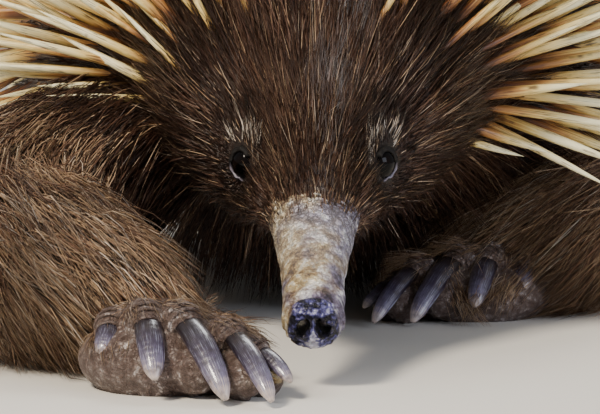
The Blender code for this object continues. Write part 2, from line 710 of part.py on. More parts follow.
def grow_torso_coat(torso):
    """Rows of long spines that lie back over the body, with locks of hair under them along the flanks."""
    coat = Coat(TRUNK, torso, SEED + 2)
    for s, angle in spread(TRUNK, BACK_SPINES):
        back = (s / MM - NECK_END) / (TORSO_END - NECK_END)
        length = BACK_LENGTH + BACK_MIDDLE * math.sin(math.pi * back) + BACK_RIDGE * math.sin(angle)
        lift = math.radians(BACK_LIFT - BACK_LIFT_LOSS * back)
        coat.spine(s, angle, length, lift, -BACK_SWEEP * math.cos(angle))
    for patch in both_sides(FLANK_LOCKS):
        coat.locks(patch, FLANK_HAIR)
    coat.fuse()


def grow_tail_coat(tail):
    """Spines that hide the stump of the tail."""
    coat = Coat(TRUNK, tail, SEED + 3)
    for s, angle in spread(TRUNK, TAIL_SPINES):
        coat.spine(s, angle, TAIL_LENGTH, TAIL_LIFT)
    coat.fuse()


def centre_on_floor(objects):
    """Moves all so that the origin is under the middle of the animal, on the floor."""
    corners = np.array([obj.matrix_world @ v.co for obj in objects for v in obj.data.vertices])
    low, high = corners.min(axis=0), corners.max(axis=0)
    shift = Matrix.Translation((-(low[0] + high[0]) / 2, -(low[1] + high[1]) / 2, 0.0))
    for obj in objects:
        obj.data.transform(shift)


def main():
    clear_scene()
    fur = material("brown_fur", (0.10, 0.055, 0.03), 0.9)
    snout = material("mottled_skin", (0.36, 0.31, 0.25), 0.6)
    skin = material("paw_skin", (0.16, 0.10, 0.075), 0.7)
    horn = material("grey_horn", (0.33, 0.29, 0.31), 0.4)
    eye = material("dark_eye", (0.01, 0.009, 0.009), 0.1)
    spiny = material("spine_coat", (0.55, 0.42, 0.22), 0.6)
    build_beak(snout)
    head = build_head(fur)
    for side, right in (("left", False), ("right", True)):
        node(f"eye_{side}", eye_ball(right), eye)
        build_ear(f"ear_{side}", right, fur)
    neck = node("neck", TRUNK.solid(HEAD_END * MM, NECK_END * MM - GAP, NECK_MESH), fur)
    torso = node("torso", TRUNK.solid(NECK_END * MM, TORSO_END * MM - GAP, TORSO_MESH), spiny)
    tail = node("tail", TRUNK.solid(TORSO_END * MM, TRUNK.length, TAIL_MESH), spiny)
    for seed, (loft, leg) in enumerate(build_legs(fur, skin, horn), SEED + 4):
        grow_leg_coat(loft, leg, seed)
    grow_head_coat(head)
    grow_neck_coat(neck)
    grow_torso_coat(torso)
    grow_tail_coat(tail)
    centre_on_floor(list(bpy.data.objects))


main()
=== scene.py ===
"""Looks of the life-size short-beaked echidna that noses along the ground.

One skin of joined lofts takes the place of the flesh, and the coat of hair and spines grows on it as solid
meshes. Sizes are in millimetres in the design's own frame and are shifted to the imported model's frame, which
is found from where its eyes lie. The animal faces -Y and its left side is at +X.
"""
import logging
import math
from dataclasses import dataclass, replace
from enum import Enum

import bmesh
import bpy
import numpy as np
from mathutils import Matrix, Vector
from mathutils.bvhtree import BVHTree
from mathutils.kdtree import KDTree


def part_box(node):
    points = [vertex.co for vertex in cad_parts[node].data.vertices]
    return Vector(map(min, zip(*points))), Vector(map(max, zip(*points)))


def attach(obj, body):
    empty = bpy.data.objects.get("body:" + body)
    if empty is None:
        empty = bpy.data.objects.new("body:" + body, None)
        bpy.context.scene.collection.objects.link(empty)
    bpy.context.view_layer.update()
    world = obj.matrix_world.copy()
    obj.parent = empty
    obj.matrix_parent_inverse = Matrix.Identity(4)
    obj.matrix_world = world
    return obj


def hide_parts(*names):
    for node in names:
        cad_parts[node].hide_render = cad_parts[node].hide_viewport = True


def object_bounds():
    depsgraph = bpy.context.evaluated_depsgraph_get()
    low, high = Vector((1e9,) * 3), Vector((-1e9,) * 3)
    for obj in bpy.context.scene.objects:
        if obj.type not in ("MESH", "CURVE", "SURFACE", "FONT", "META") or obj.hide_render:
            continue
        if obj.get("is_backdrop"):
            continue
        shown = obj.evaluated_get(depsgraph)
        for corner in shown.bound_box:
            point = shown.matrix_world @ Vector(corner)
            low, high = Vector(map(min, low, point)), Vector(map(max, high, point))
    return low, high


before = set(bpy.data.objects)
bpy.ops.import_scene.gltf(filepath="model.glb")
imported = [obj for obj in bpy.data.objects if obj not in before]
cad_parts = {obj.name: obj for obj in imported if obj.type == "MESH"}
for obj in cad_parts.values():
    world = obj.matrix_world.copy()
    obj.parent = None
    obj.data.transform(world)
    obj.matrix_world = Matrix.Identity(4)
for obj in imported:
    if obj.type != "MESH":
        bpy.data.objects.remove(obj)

log = logging.getLogger("echidna")

MM = 0.001
TURN = 2 * math.pi
SEED = 4
SMALL_STEP = 0.5 * MM
# How deep hair is rooted in skin that lies at the solids' surface, in mm.
ROOT_DEPTH = 0.2
# The name of the unwrap that each hair and spine carries, and how wide each hair's or spine's own patch of it
# is.
BAKE_MAP = "OFBake"
BAKE_PATCH = 0.003


def linear(colour: str) -> tuple[float, float, float, float]:
    """The linear colour of an sRGB hex value.

    Args:
        colour: six hex digits.

    Returns:
        Red, green, blue and an alpha of one.
    """
    parts = [int(colour[i : i + 2], 16) / 255 for i in (0, 2, 4)]
    made = [p / 12.92 if p <= 0.04045 else ((p + 0.055) / 1.055) ** 2.4 for p in parts]
    return (*made, 1.0)


def smooth(low: float, high: float, value: np.ndarray) -> np.ndarray:
    """A smooth step from zero at low to one at high.

    Args:
        low: where the step starts.
        high: where the step ends, which may be below low.
        value: where it is read.

    Returns:
        The step's height at each value.
    """
    share = np.clip((value - low) / (high - low), 0.0, 1.0)
    return share * share * (3 - 2 * share)


def unit(vectors: np.ndarray) -> np.ndarray:
    """The vectors at a length of one."""
    return vectors / np.maximum(np.linalg.norm(vectors, axis=-1, keepdims=True), 1e-12)


def ripple(points: np.ndarray, size: float, seed: int) -> np.ndarray:
    """A soft random relief from minus one to one.

    Args:
        points: where it is read, in metres.
        size: the width of its bumps in metres.
        seed: which relief.

    Returns:
        One height for each point.
    """
    draw = np.random.default_rng(seed)
    waves = unit(draw.normal(size=(9, 3))) * TURN / (size * 2) * draw.uniform(0.7, 1.4, (9, 1))
    phases = draw.uniform(0, TURN, 9)
    return np.sin(points @ waves.T + phases).sum(axis=-1) / 4.5


class Loft:
    """A tapering body along a smooth line, as in the solids. A station is x, y, z, half width, rise, drop."""

    def __init__(self, stations: list[tuple], side: tuple = (1.0, 0.0, 0.0), shift: tuple = (0.0, 0.0, 0.0)):
        """Sets out the line.

        Args:
            stations: the stations in millimetres.
            side: the direction of angle zero round the body.
            shift: a move of the whole, in metres.
        """
        self.rows = np.array(stations, float) * MM
        self.rows[:, :3] += np.array(shift)
        chords = np.linalg.norm(np.diff(self.rows[:, :3], axis=0), axis=1)
        self.at = np.concatenate([[0.0], np.cumsum(chords)])
        self.length = float(self.at[-1])
        self.slopes = np.gradient(self.rows, self.at, axis=0)
        self.side = np.array(side, float)

    def rows_at(self, s: np.ndarray) -> np.ndarray:
        """Centre, half width, rise and drop at distances along the line."""
        s = np.clip(np.asarray(s, float), 0.0, self.length)
        i = np.clip(np.searchsorted(self.at, s) - 1, 0, len(self.at) - 2)
        span = self.at[i + 1] - self.at[i]
        t = ((s - self.at[i]) / span)[..., None]
        span = span[..., None]
        near = (1 + 2 * t) * (1 - t) ** 2 * self.rows[i] + t * (1 - t) ** 2 * span * self.slopes[i]
        far = t * t * (3 - 2 * t) * self.rows[i + 1] + t * t * (t - 1) * span * self.slopes[i + 1]
        return near + far

    def frames(self, s: np.ndarray) -> tuple[np.ndarray, np.ndarray, np.ndarray, np.ndarray]:
        """The centre, and the unit vectors to the side, up and along the line, at distances along it."""
        s = np.asarray(s, float)
        ahead = self.rows_at(np.minimum(s + SMALL_STEP, self.length))[..., :3]
        along = unit(ahead - self.rows_at(np.maximum(s - SMALL_STEP, 0.0))[..., :3])
        side = unit(self.side - along * (along @ self.side)[..., None])
        return self.rows_at(s)[..., :3], side, np.cross(side, along), along

    def points(self, s: np.ndarray, angle: np.ndarray, grow: np.ndarray = 0.0) -> np.ndarray:
        """Places on the surface.

        Args:
            s: distances along the line in metres.
            angle: angles round it in radians.
            grow: how far outside the surface, in metres.

        Returns:
            A point for each.
        """
        s, angle, grow = np.broadcast_arrays(np.asarray(s, float), angle, grow)
        rows = self.rows_at(s)
        centre, side, up, _ = self.frames(s)
        height = np.where(np.sin(angle) >= 0, rows[..., 4], rows[..., 5])
        wide = ((rows[..., 3] + grow) * np.cos(angle))[..., None]
        return centre + side * wide + up * ((height + grow) * np.sin(angle))[..., None]

    def lie(self, s: np.ndarray, angle: np.ndarray) -> tuple[np.ndarray, np.ndarray, np.ndarray]:
        """The unit vectors along the surface, round it and out of it."""
        ahead = self.points(np.minimum(s + SMALL_STEP, self.length), angle)
        along = unit(ahead - self.points(np.maximum(s - SMALL_STEP, 0.0), angle))
        around = unit(self.points(s, angle + 0.01) - self.points(s, angle - 0.01))
        out = unit(np.cross(along, around))
        return along, np.cross(out, along), out


@dataclass(frozen=True)
class Build:
    """The driving sizes of the animal in millimetres, as in the solids."""

    head_pitch: float = math.radians(28)
    nose_height: float = 12.7
    head_length: float = 105.0
    neck_y: float = -97.0
    beak_end: float = 49.0
    head_end: float = 100.0
    neck_end: float = 142.0
    torso_end: float = 372.0
    eye_at: float = 62.0
    eye_angle: float = math.radians(16)
    eye_radius: float = 4.3
    eye_sunk: float = 2.4
    ear_at: float = 86.0
    ear_angle: float = math.radians(18)

    def head_stations(self) -> list[tuple]:
        """The head's sections along its pitched line, from the nose back to the neck."""
        sections = [
            (0.0, 3.0, 2.6, 2.6), (1.2, 5.2, 4.7, 4.7), (4.0, 6.5, 6.0, 6.0), (9.0, 6.9, 6.3, 6.3),
            (17.0, 6.9, 6.2, 6.2), (28.0, 7.9, 7.2, 7.0), (40.0, 9.5, 8.9, 8.3), (49.0, 11.3, 11.0, 10.0),
            (56.0, 14.2, 14.0, 12.0), (63.0, 18.4, 17.5, 14.8), (72.0, 22.8, 21.5, 18.0),
            (82.0, 27.2, 26.0, 21.5), (94.0, 31.8, 30.5, 25.0), (105.0, 36.0, 34.0, 28.0),
        ]
        back = np.array([0.0, math.cos(self.head_pitch), math.sin(self.head_pitch)])
        nose = np.array([0.0, self.neck_y - self.head_length * back[1], self.nose_height])
        return [(*(nose + back * at), wide, rise, drop) for at, wide, rise, drop in sections]

    @staticmethod
    def body_stations() -> list[tuple]:
        """The body's sections behind the head."""
        sections = [
            (-80, 67, 46, 41, 34), (-55, 69, 60, 51, 42), (-20, 68, 73, 60, 47), (25, 66, 81, 66, 48),
            (70, 64, 79, 64, 46), (110, 60, 67, 54, 41), (138, 54, 49, 41, 33), (155, 48, 31, 28, 24),
            (168, 43, 17, 16, 14), (182, 39, 10, 9, 9), (190, 37, 4, 4, 4),
        ]
        return [(0.0, *section) for section in sections]


BUILD = Build()

LEG_STATIONS = {
    "foreleg_right": [
        (-30, -62, 53, 19, 24, 24), (-50, -78, 47, 18, 25, 25), (-68, -102, 38, 17, 24, 22),
        (-72, -124, 32, 17, 21, 20), (-60, -148, 25, 16, 18, 17), (-44, -166, 18, 14, 13, 12),
        (-36, -176, 13, 12, 8, 8),
    ],
    "foreleg_left": [
        (30, -32, 56, 19, 24, 24), (54, -30, 50, 19, 25, 25), (74, -28, 41, 19, 24, 23),
        (80, -34, 33, 18, 21, 20), (69, -44, 25, 16, 18, 17), (54, -52, 18, 14, 13, 12),
        (46, -55, 12, 12, 8, 8),
    ],
    "hindleg_right": [
        (-28, 92, 56, 22, 26, 24), (-52, 88, 50, 24, 26, 24), (-70, 84, 40, 23, 23, 20),
        (-76, 92, 28, 18, 18, 16), (-78, 106, 18, 14, 13, 11), (-80, 116, 12, 11, 8, 8),
    ],
    "hindleg_left": [
        (28, 70, 56, 22, 26, 24), (54, 62, 50, 24, 26, 24), (74, 56, 40, 23, 23, 20),
        (80, 62, 28, 18, 18, 16), (82, 76, 18, 14, 13, 11), (84, 86, 12, 11, 8, 8),
    ],
}


def find_shift() -> tuple[float, float, float]:
    """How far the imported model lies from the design's own frame, found from the eyes."""
    trunk = Loft(BUILD.head_stations() + BUILD.body_stations())
    eyes, packed = [], []
    for name, angle in (("eye_left", BUILD.eye_angle), ("eye_right", math.pi - BUILD.eye_angle)):
        at = np.array([BUILD.eye_at * MM])
        out = trunk.lie(at, np.array([angle]))[2][0]
        eyes.append(trunk.points(at, np.array([angle]))[0] - out * BUILD.eye_sunk * MM)
        low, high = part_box(name)
        packed.append(np.array((low + high) / 2))
    moved = (np.mean(packed, axis=0) - np.mean(eyes, axis=0)).tolist()
    return moved[0], moved[1], 0.0


SHIFT = find_shift()
TRUNK = Loft(BUILD.head_stations() + BUILD.body_stations(), shift=SHIFT)
LEGS = {name: Loft(stations, (0.0, 0.0, 1.0), SHIFT) for name, stations in LEG_STATIONS.items()}


def add(tree: bpy.types.NodeTree, kind: str, inputs: dict | None = None, **settings) -> bpy.types.Node:
    """Adds a node with its settings and links.

    Args:
        tree: the tree that gets it.
        kind: the node's type name.
        inputs: a value, or the socket or node to link from, for each input by its name or number.
        settings: the node's own settings, and as stops a colour ramp's places and hex colours.

    Returns:
        The new node.
    """
    node = tree.nodes.new(kind)
    stops = settings.pop("stops", ())
    if stops:
        elements = node.color_ramp.elements
        elements.remove(elements[1])
        for number, (place, colour) in enumerate(stops):
            element = elements.new(place) if number else elements[0]
            element.position = place
            element.color = linear(colour)
    for name, value in settings.items():
        setattr(node, name, value)
    for key, value in (inputs or {}).items():
        if isinstance(value, bpy.types.Node):
            value = next(out for out in value.outputs if out.enabled)
        if isinstance(value, bpy.types.NodeSocket):
            tree.links.new(value, node.inputs[key])
        else:
            node.inputs[key].default_value = value
    return node


def empty_material(name: str) -> tuple[bpy.types.Material, bpy.types.NodeTree, bpy.types.Node]:
    """A material with nothing but its shader, its node tree and the shader."""
    made = bpy.data.materials.new(name)
    made.use_nodes = True
    tree = made.node_tree
    return made, tree, tree.nodes["Principled BSDF"]


def read_marks(tree: bpy.types.NodeTree, *names: str) -> list[bpy.types.NodeSocket]:
    """The sockets that read what a mesh's corners keep under the names."""
    return [add(tree, "ShaderNodeAttribute", attribute_name=name).outputs["Fac"] for name in names]


@dataclass(frozen=True)
class SkinFinish:
    """Bare skin of a living mammal: scaly, creased keratin, dull on the beak and wet on the nose."""

    # The beak's skin is blotched by pigment and scurf: cream and ochre beside grey and lilac, all dusty. The
    # warm tones also stand as painted light on the animal's right side, and the darker cool ones as painted
    # shade on its left.
    warm: tuple = ((0.32, "54402f"), (0.42, "9a7f55"), (0.52, "ccb78b"), (0.63, "fbf5e6"))
    cool: tuple = ((0.32, "2a2230"), (0.42, "5b5066"), (0.53, "9088a1"), (0.65, "f2eff4"))
    # The nose is wet and nearly black; its blue and near-white stops are painted highlights where light would
    # catch its grain.
    wet: tuple = ((0.40, "0d0b12"), (0.50, "25233f"), (0.62, "6563a0"), (0.74, "e2e1f8"))
    # How much scurf and a painted highlight whiten the beak from its tip to the fur, as greys, most in a band
    # across its middle.
    scurf_and_highlight: tuple = ((0.2, "000000"), (0.45, "9a9a9a"), (0.58, "b4b4b4"), (0.72, "5a5a5a"), (0.85, "202020"))
    # Paws are brown, with pale scurf where the skin is rubbed.
    sole: tuple = ((0.30, "4a382f"), (0.46, "62504a"), (0.58, "7b6c66"), (0.68, "bcb2b0"))
    crack: str = "332a2a"
    hide: str = "22150e"
    # Patches 8 mm across, stains of 5 mm, blotches of 2 mm, grain of 1 mm and scales of 1.5 mm, per metre.
    patch: float = 130.0
    stain: float = 230.0
    blotch: float = 520.0
    grain: float = 900.0
    scales: float = 760.0

    def build(self) -> bpy.types.Material:
        """Makes the material, which reads from the skin where its beak, nose and paws are."""
        made, tree, shader = empty_material("living_skin")
        place = add(tree, "ShaderNodeTexCoord").outputs["Object"]
        beak, nose, paw, back, pit, gleam = read_marks(tree, "beak", "nose", "paw", "back", "pit", "gleam")
        pigment = add(tree, "ShaderNodeTexNoise", {"Vector": place, "Scale": self.patch, "Detail": 2.0})
        broad = {"Vector": place, "Scale": self.blotch, "Detail": 5.0, "Roughness": 0.62}
        broad = add(tree, "ShaderNodeTexNoise", broad)
        stain = add(tree, "ShaderNodeTexNoise", {"Vector": place, "Scale": self.stain, "Detail": 3.0})
        stain = add(tree, "ShaderNodeMath", {0: stain, 1: 0.75, 2: -0.375}, operation="MULTIPLY_ADD")
        fine = add(tree, "ShaderNodeTexNoise", {"Vector": place, "Scale": self.grain, "Detail": 4.0})
        tone = add(tree, "ShaderNodeMath", {0: broad, 1: 0.5, 2: stain}, operation="MULTIPLY_ADD")
        tone = add(tree, "ShaderNodeMath", {0: fine, 1: 0.5, 2: tone}, operation="MULTIPLY_ADD")
        # The grain crumples the outlines of the scales.
        crumpled = {0: 0.003, 4: place, 5: fine.outputs["Color"]}
        crumpled = add(tree, "ShaderNodeMix", crumpled, data_type="VECTOR")
        cells = {"Vector": crumpled.outputs[1], "Scale": self.scales, "Randomness": 1.0}
        edges = add(tree, "ShaderNodeTexVoronoi", cells, feature="DISTANCE_TO_EDGE")
        crease = add(tree, "ShaderNodeMapRange", {"Value": edges, 1: 0.0, 2: 0.2, 3: 1.0, 4: 0.0})
        warm = add(tree, "ShaderNodeValToRGB", {0: tone}, stops=self.warm)
        cool = add(tree, "ShaderNodeValToRGB", {0: tone}, stops=self.cool)
        # Painted light and shade: across the beak the warm tones go on the animal's right side, towards the
        # light, and the darker cool tones on its left, broken up by pigment blotches.
        sides = add(tree, "ShaderNodeSeparateXYZ", {0: place})
        side_shade_and_pigment = {0: sides.outputs["X"], 1: 20.0, 2: pigment}
        side_shade_and_pigment = add(tree, "ShaderNodeMath", side_shade_and_pigment, operation="MULTIPLY_ADD")
        side_shade_and_pigment = add(tree, "ShaderNodeMapRange", {"Value": side_shade_and_pigment, 1: 0.40, 2: 0.6, 3: 0.0, 4: 1.0})
        skin = add(tree, "ShaderNodeMix", {0: side_shade_and_pigment, 6: warm, 7: cool}, data_type="RGBA")
        # Creases deepen towards the fur; scurf, partly a painted highlight, whitens the beak most across its
        # middle.
        scurf = add(tree, "ShaderNodeValToRGB", {0: back}, stops=self.scurf_and_highlight)
        scurf = add(tree, "ShaderNodeMath", {0: scurf, 1: broad}, operation="MULTIPLY")
        skin = add(tree, "ShaderNodeMix", {0: scurf, 6: skin, 7: linear(self.cool[-1][1])}, data_type="RGBA")
        deep = add(tree, "ShaderNodeMapRange", {"Value": back, 1: 0.35, 2: 0.7, 3: 0.25, 4: 0.85})
        deep = add(tree, "ShaderNodeMath", {0: crease, 1: deep}, operation="MULTIPLY")
        skin = add(tree, "ShaderNodeMix", {0: deep, 6: skin, 7: linear(self.crack)}, data_type="RGBA")
        pores = add(tree, "ShaderNodeMapRange", {"Value": fine, 1: 0.52, 2: 0.68, 3: 0.0, 4: 0.5})
        skin = add(tree, "ShaderNodeMix", {0: pores, 6: skin, 7: linear(self.crack)}, data_type="RGBA")
        # The pad's tone: its grain plus the painted highlight, read through the wet tones whose pale stops are
        # painted glints.
        glint = add(tree, "ShaderNodeMath", {0: fine, 1: 0.75, 2: 0.11}, operation="MULTIPLY_ADD")
        glint = add(tree, "ShaderNodeMath", {0: gleam, 1: 0.25, 2: glint}, operation="MULTIPLY_ADD")
        wet = add(tree, "ShaderNodeValToRGB", {0: glint}, stops=self.wet)
        pads = add(tree, "ShaderNodeValToRGB", {0: broad}, stops=self.sole)
        lined = add(tree, "ShaderNodeMath", {0: crease, 1: 0.3}, operation="MULTIPLY")
        pads = add(tree, "ShaderNodeMix", {0: lined, 6: pads, 7: linear(self.sole[0][1])}, data_type="RGBA")
        colour = add(tree, "ShaderNodeMix", {0: beak, 6: linear(self.hide), 7: skin}, data_type="RGBA")
        colour = add(tree, "ShaderNodeMix", {0: paw, 6: colour, 7: pads}, data_type="RGBA")
        colour = add(tree, "ShaderNodeMix", {0: nose, 6: colour, 7: wet}, data_type="RGBA")
        # Painted shade: the insides of the nostrils are painted near black.
        colour = add(tree, "ShaderNodeMix", {0: pit, 6: colour, 7: linear(self.wet[0][1])}, data_type="RGBA")
        tree.links.new(colour.outputs[2], shader.inputs["Base Color"])
        dull = add(tree, "ShaderNodeMapRange", {"Value": nose, 3: 0.5, 4: 0.16})
        tree.links.new(dull.outputs[0], shader.inputs["Roughness"])
        sunk = add(tree, "ShaderNodeMath", {0: crease, 1: -0.9, 2: fine}, operation="MULTIPLY_ADD")
        relief = add(tree, "ShaderNodeMapRange", {"Value": nose, 3: 0.0004, 4: 0.0011})
        bump = add(tree, "ShaderNodeBump", {"Height": sunk, "Strength": 0.8, "Distance": relief})
        tree.links.new(bump.outputs[0], shader.inputs["Normal"])
        shader.inputs["Subsurface Weight"].default_value = 0.06
        shader.inputs["Subsurface Radius"].default_value = (0.003, 0.0015, 0.0008)
        return made


@dataclass(frozen=True)
class ClawFinish:
    """Keratin of a digging claw: grey-lilac, ridged and dark at the root, worn pale and smooth at the tip."""

    # Keratin lets a little light in, so the worn tip glows paler than the thick root.
    tones: tuple = ((0.10, "151012"), (0.32, "282029"), (0.58, "3e3549"), (0.84, "6d6580"), (1.0, "cbb9ae"))
    # Growth lines run round the claw about 1 mm apart, and pale blue-grey streaks along it are painted
    # highlights.
    bands: float = 26.0
    streak_highlight: str = "cdd4ec"
    grime: str = "2f2624"

    def build(self) -> bpy.types.Material:
        """Makes the material, which reads how far along the claw a point is."""
        made, tree, shader = empty_material("claw_keratin")
        place = add(tree, "ShaderNodeTexCoord").outputs["Object"]
        along, around = read_marks(tree, "along", "around")
        noise = add(tree, "ShaderNodeTexNoise", {"Vector": place, "Scale": 500.0, "Detail": 4.0})
        wide = add(tree, "ShaderNodeMath", {0: around, 1: 6.0}, operation="MULTIPLY")
        grain = add(tree, "ShaderNodeCombineXYZ", {"X": wide, "Y": along})
        streak = add(tree, "ShaderNodeTexNoise", {"Vector": grain, "Scale": 2.0, "Detail": 3.0})
        shifted = add(tree, "ShaderNodeMath", {0: streak, 1: 0.5, 2: along}, operation="MULTIPLY_ADD")
        line = add(tree, "ShaderNodeMath", {0: along, 1: self.bands * TURN / 2}, operation="MULTIPLY")
        line = add(tree, "ShaderNodeMath", {0: noise, 1: 5.0, 2: line}, operation="MULTIPLY_ADD")
        band = add(tree, "ShaderNodeMath", {0: line}, operation="SINE")
        shifted = add(tree, "ShaderNodeMath", {0: band, 1: 0.02, 2: shifted}, operation="MULTIPLY_ADD")
        shifted = add(tree, "ShaderNodeMath", {0: shifted, 1: 0.24}, operation="SUBTRACT")
        colour = add(tree, "ShaderNodeValToRGB", {0: shifted}, stops=self.tones)
        # Painted highlights: pale blue-grey streaks along the claw, kept off its root.
        split = add(tree, "ShaderNodeTexNoise", {"Vector": grain, "Scale": 5.0, "Detail": 2.0})
        painted_streaks = add(tree, "ShaderNodeMapRange", {"Value": split, 1: 0.54, 2: 0.72, 3: 0.0, 4: 0.55})
        worn = add(tree, "ShaderNodeMapRange", {"Value": along, 1: 0.2, 2: 0.5, 3: 0.0, 4: 1.0})
        painted_streaks = add(tree, "ShaderNodeMath", {0: painted_streaks, 1: worn}, operation="MULTIPLY")
        pale = {0: painted_streaks, 6: colour, 7: linear(self.streak_highlight)}
        colour = add(tree, "ShaderNodeMix", pale, data_type="RGBA")
        faint = add(tree, "ShaderNodeMapRange", {"Value": noise, 1: 0.48, 2: 0.7, 3: 0.0, 4: 0.6})
        colour = add(tree, "ShaderNodeMix", {0: faint, 6: colour, 7: linear(self.grime)}, data_type="RGBA")
        tree.links.new(colour.outputs[2], shader.inputs["Base Color"])
        shader.inputs["Roughness"].default_value = 0.3
        shader.inputs["IOR"].default_value = 1.54
        shader.inputs["Coat Weight"].default_value = 0.8
        shader.inputs["Coat Roughness"].default_value = 0.12
        raised = add(tree, "ShaderNodeMath", {0: band, 1: 0.12, 2: streak}, operation="MULTIPLY_ADD")
        bump = add(tree, "ShaderNodeBump", {"Height": raised, "Strength": 0.4, "Distance": 0.0003})
        tree.links.new(bump.outputs[0], shader.inputs["Normal"])
        return made


@dataclass(frozen=True)
class SpineFinish:
    """Keratin of a hollow spine: brown at the root, straw-yellow, then cream at the tip, half glossy."""

    # Pigment fades from the root to the tip, so every spine looks dipped in a paler colour.
    tones: tuple = ((0.06, "2a190f"), (0.22, "754527"), (0.36, "bf8a4c"), (0.50, "ebce7e"), (0.76, "fdf6cc"))
    fleck: str = "4a2a17"

    def build(self) -> bpy.types.Material:
        """Makes the material, which reads how far along its spine a point is and the spine's own tint."""
        made, tree, shader = empty_material("spine_keratin")
        along, around, tint = read_marks(tree, "along", "around", "tint")
        apart = add(tree, "ShaderNodeMath", {0: tint, 1: 40.0}, operation="MULTIPLY")
        wide = add(tree, "ShaderNodeMath", {0: around, 1: 3.0}, operation="MULTIPLY")
        grain = add(tree, "ShaderNodeCombineXYZ", {"X": wide, "Y": along, "Z": apart})
        streak = add(tree, "ShaderNodeTexNoise", {"Vector": grain, "Scale": 3.0, "Detail": 4.0})
        far = add(tree, "ShaderNodeMath", {0: along, 1: 1.6}, operation="MULTIPLY")
        spread = add(tree, "ShaderNodeCombineXYZ", {"X": around, "Y": far, "Z": apart})
        flecks = add(tree, "ShaderNodeTexNoise", {"Vector": spread, "Scale": 5.0, "Detail": 2.0})
        shifted = add(tree, "ShaderNodeMath", {0: streak, 1: 0.5, 2: along}, operation="MULTIPLY_ADD")
        shifted = add(tree, "ShaderNodeMath", {0: tint, 1: 0.35, 2: shifted}, operation="MULTIPLY_ADD")
        shifted = add(tree, "ShaderNodeMath", {0: shifted, 1: 0.42}, operation="SUBTRACT")
        colour = add(tree, "ShaderNodeValToRGB", {0: shifted}, stops=self.tones)
        speck = add(tree, "ShaderNodeMapRange", {"Value": flecks, 1: 0.56, 2: 0.68, 3: 0.0, 4: 0.8})
        colour = add(tree, "ShaderNodeMix", {0: speck, 6: colour, 7: linear(self.fleck)}, data_type="RGBA")
        tree.links.new(colour.outputs[2], shader.inputs["Base Color"])
        shader.inputs["Roughness"].default_value = 0.38
        shader.inputs["IOR"].default_value = 1.54
        return made


@dataclass(frozen=True)
class HairFinish:
    """Long guard hair: dark brown at the root, warmer outwards, with straw-blond hairs among it."""

    # Roots lie in shade and hold more pigment, so the coat looks deep between its lit tips.
    tones: tuple = ((0.0, "241711"), (0.32, "4c3327"), (0.6, "82614d"), (0.82, "c7a886"), (1.0, "f1ece4"))
    root: str = "170e0a"

    def build(self) -> bpy.types.Material:
        """Makes the material, which reads each hair's tint and how far along it a point is."""
        made, tree, shader = empty_material("guard_hair")
        along, tint = read_marks(tree, "along", "tint")
        colour = add(tree, "ShaderNodeValToRGB", {0: tint}, stops=self.tones)
        depth = add(tree, "ShaderNodeMapRange", {"Value": along, 1: 0.0, 2: 0.35, 3: 0.8, 4: 0.0})
        colour = add(tree, "ShaderNodeMix", {0: depth, 6: colour, 7: linear(self.root)}, data_type="RGBA")
        tree.links.new(colour.outputs[2], shader.inputs["Base Color"])
        shader.inputs["Roughness"].default_value = 0.4
        shader.inputs["Specular IOR Level"].default_value = 0.5
        return made


@dataclass(frozen=True)
class EyeFinish:
    """The wet surface of a small dark eye, with a brown iris that hardly shows round the pupil."""

    # A film of tears gives the ball its sharp bright reflections.
    tones: tuple = ((0.0, "020203"), (0.3, "020203"), (0.36, "120c0a"), (0.6, "0e0a0a"), (0.8, "060506"))

    def build(self) -> bpy.types.Material:
        """Makes the material, which reads the distance from the middle of the eye as a share."""
        made, tree, shader = empty_material("wet_eye")
        (away,) = read_marks(tree, "away")
        colour = add(tree, "ShaderNodeValToRGB", {0: away}, stops=self.tones)
        tree.links.new(colour.outputs[0], shader.inputs["Base Color"])
        shader.inputs["Roughness"].default_value = 0.07
        shader.inputs["IOR"].default_value = 1.34
        shader.inputs["Specular IOR Level"].default_value = 0.25
        return made


@dataclass(frozen=True)
class LidFinish:
    """The skin of the lids: dark and creased, moist along the lower edge that meets the eye, which is painted
    paler there as a highlight.
    """

    skin: str = "070505"
    fold: str = "171210"
    # Painted highlight: the moist lower edge is painted this pale colour.
    moist: str = "8f8998"

    def build(self) -> bpy.types.Material:
        """Makes the material, which reads where the moist edge runs."""
        made, tree, shader = empty_material("lid_skin")
        place = add(tree, "ShaderNodeTexCoord").outputs["Object"]
        noise = add(tree, "ShaderNodeTexNoise", {"Vector": place, "Scale": 1200.0, "Detail": 3.0})
        ends = {0: noise, 6: linear(self.skin), 7: linear(self.fold)}
        colour = add(tree, "ShaderNodeMix", ends, data_type="RGBA")
        (moist,) = read_marks(tree, "moist")
        # The moist lower edge gets the pale colour as a painted highlight.
        colour = add(tree, "ShaderNodeMix", {0: moist, 6: colour, 7: linear(self.moist)}, data_type="RGBA")
        tree.links.new(colour.outputs[2], shader.inputs["Base Color"])
        dull = add(tree, "ShaderNodeMapRange", {"Value": moist, 3: 0.7, 4: 0.12})
        tree.links.new(dull.outputs[0], shader.inputs["Roughness"])
        shader.inputs["Specular IOR Level"].default_value = 0.3
        bump = add(tree, "ShaderNodeBump", {"Height": noise, "Strength": 0.5, "Distance": 0.0003})
        tree.links.new(bump.outputs[0], shader.inputs["Normal"])
        return made


class Finish(Enum):
    """The finishes of the animal, each with the record's slot that it belongs to."""

    SKIN = (SkinFinish(), "mottled_skin")
    CLAW = (ClawFinish(), "grey_horn")
    SPINE = (SpineFinish(), "spine_coat")
    HAIR = (HairFinish(), "brown_fur")
    EYE = (EyeFinish(), "dark_eye")
    LID = (LidFinish(), "paw_skin")


MADE: dict[Finish, bpy.types.Material] = {}


def material_of(finish: Finish) -> bpy.types.Material:
    """The finish's material, made once."""
    if finish not in MADE:
        MADE[finish] = finish.value[0].build()
    return MADE[finish]


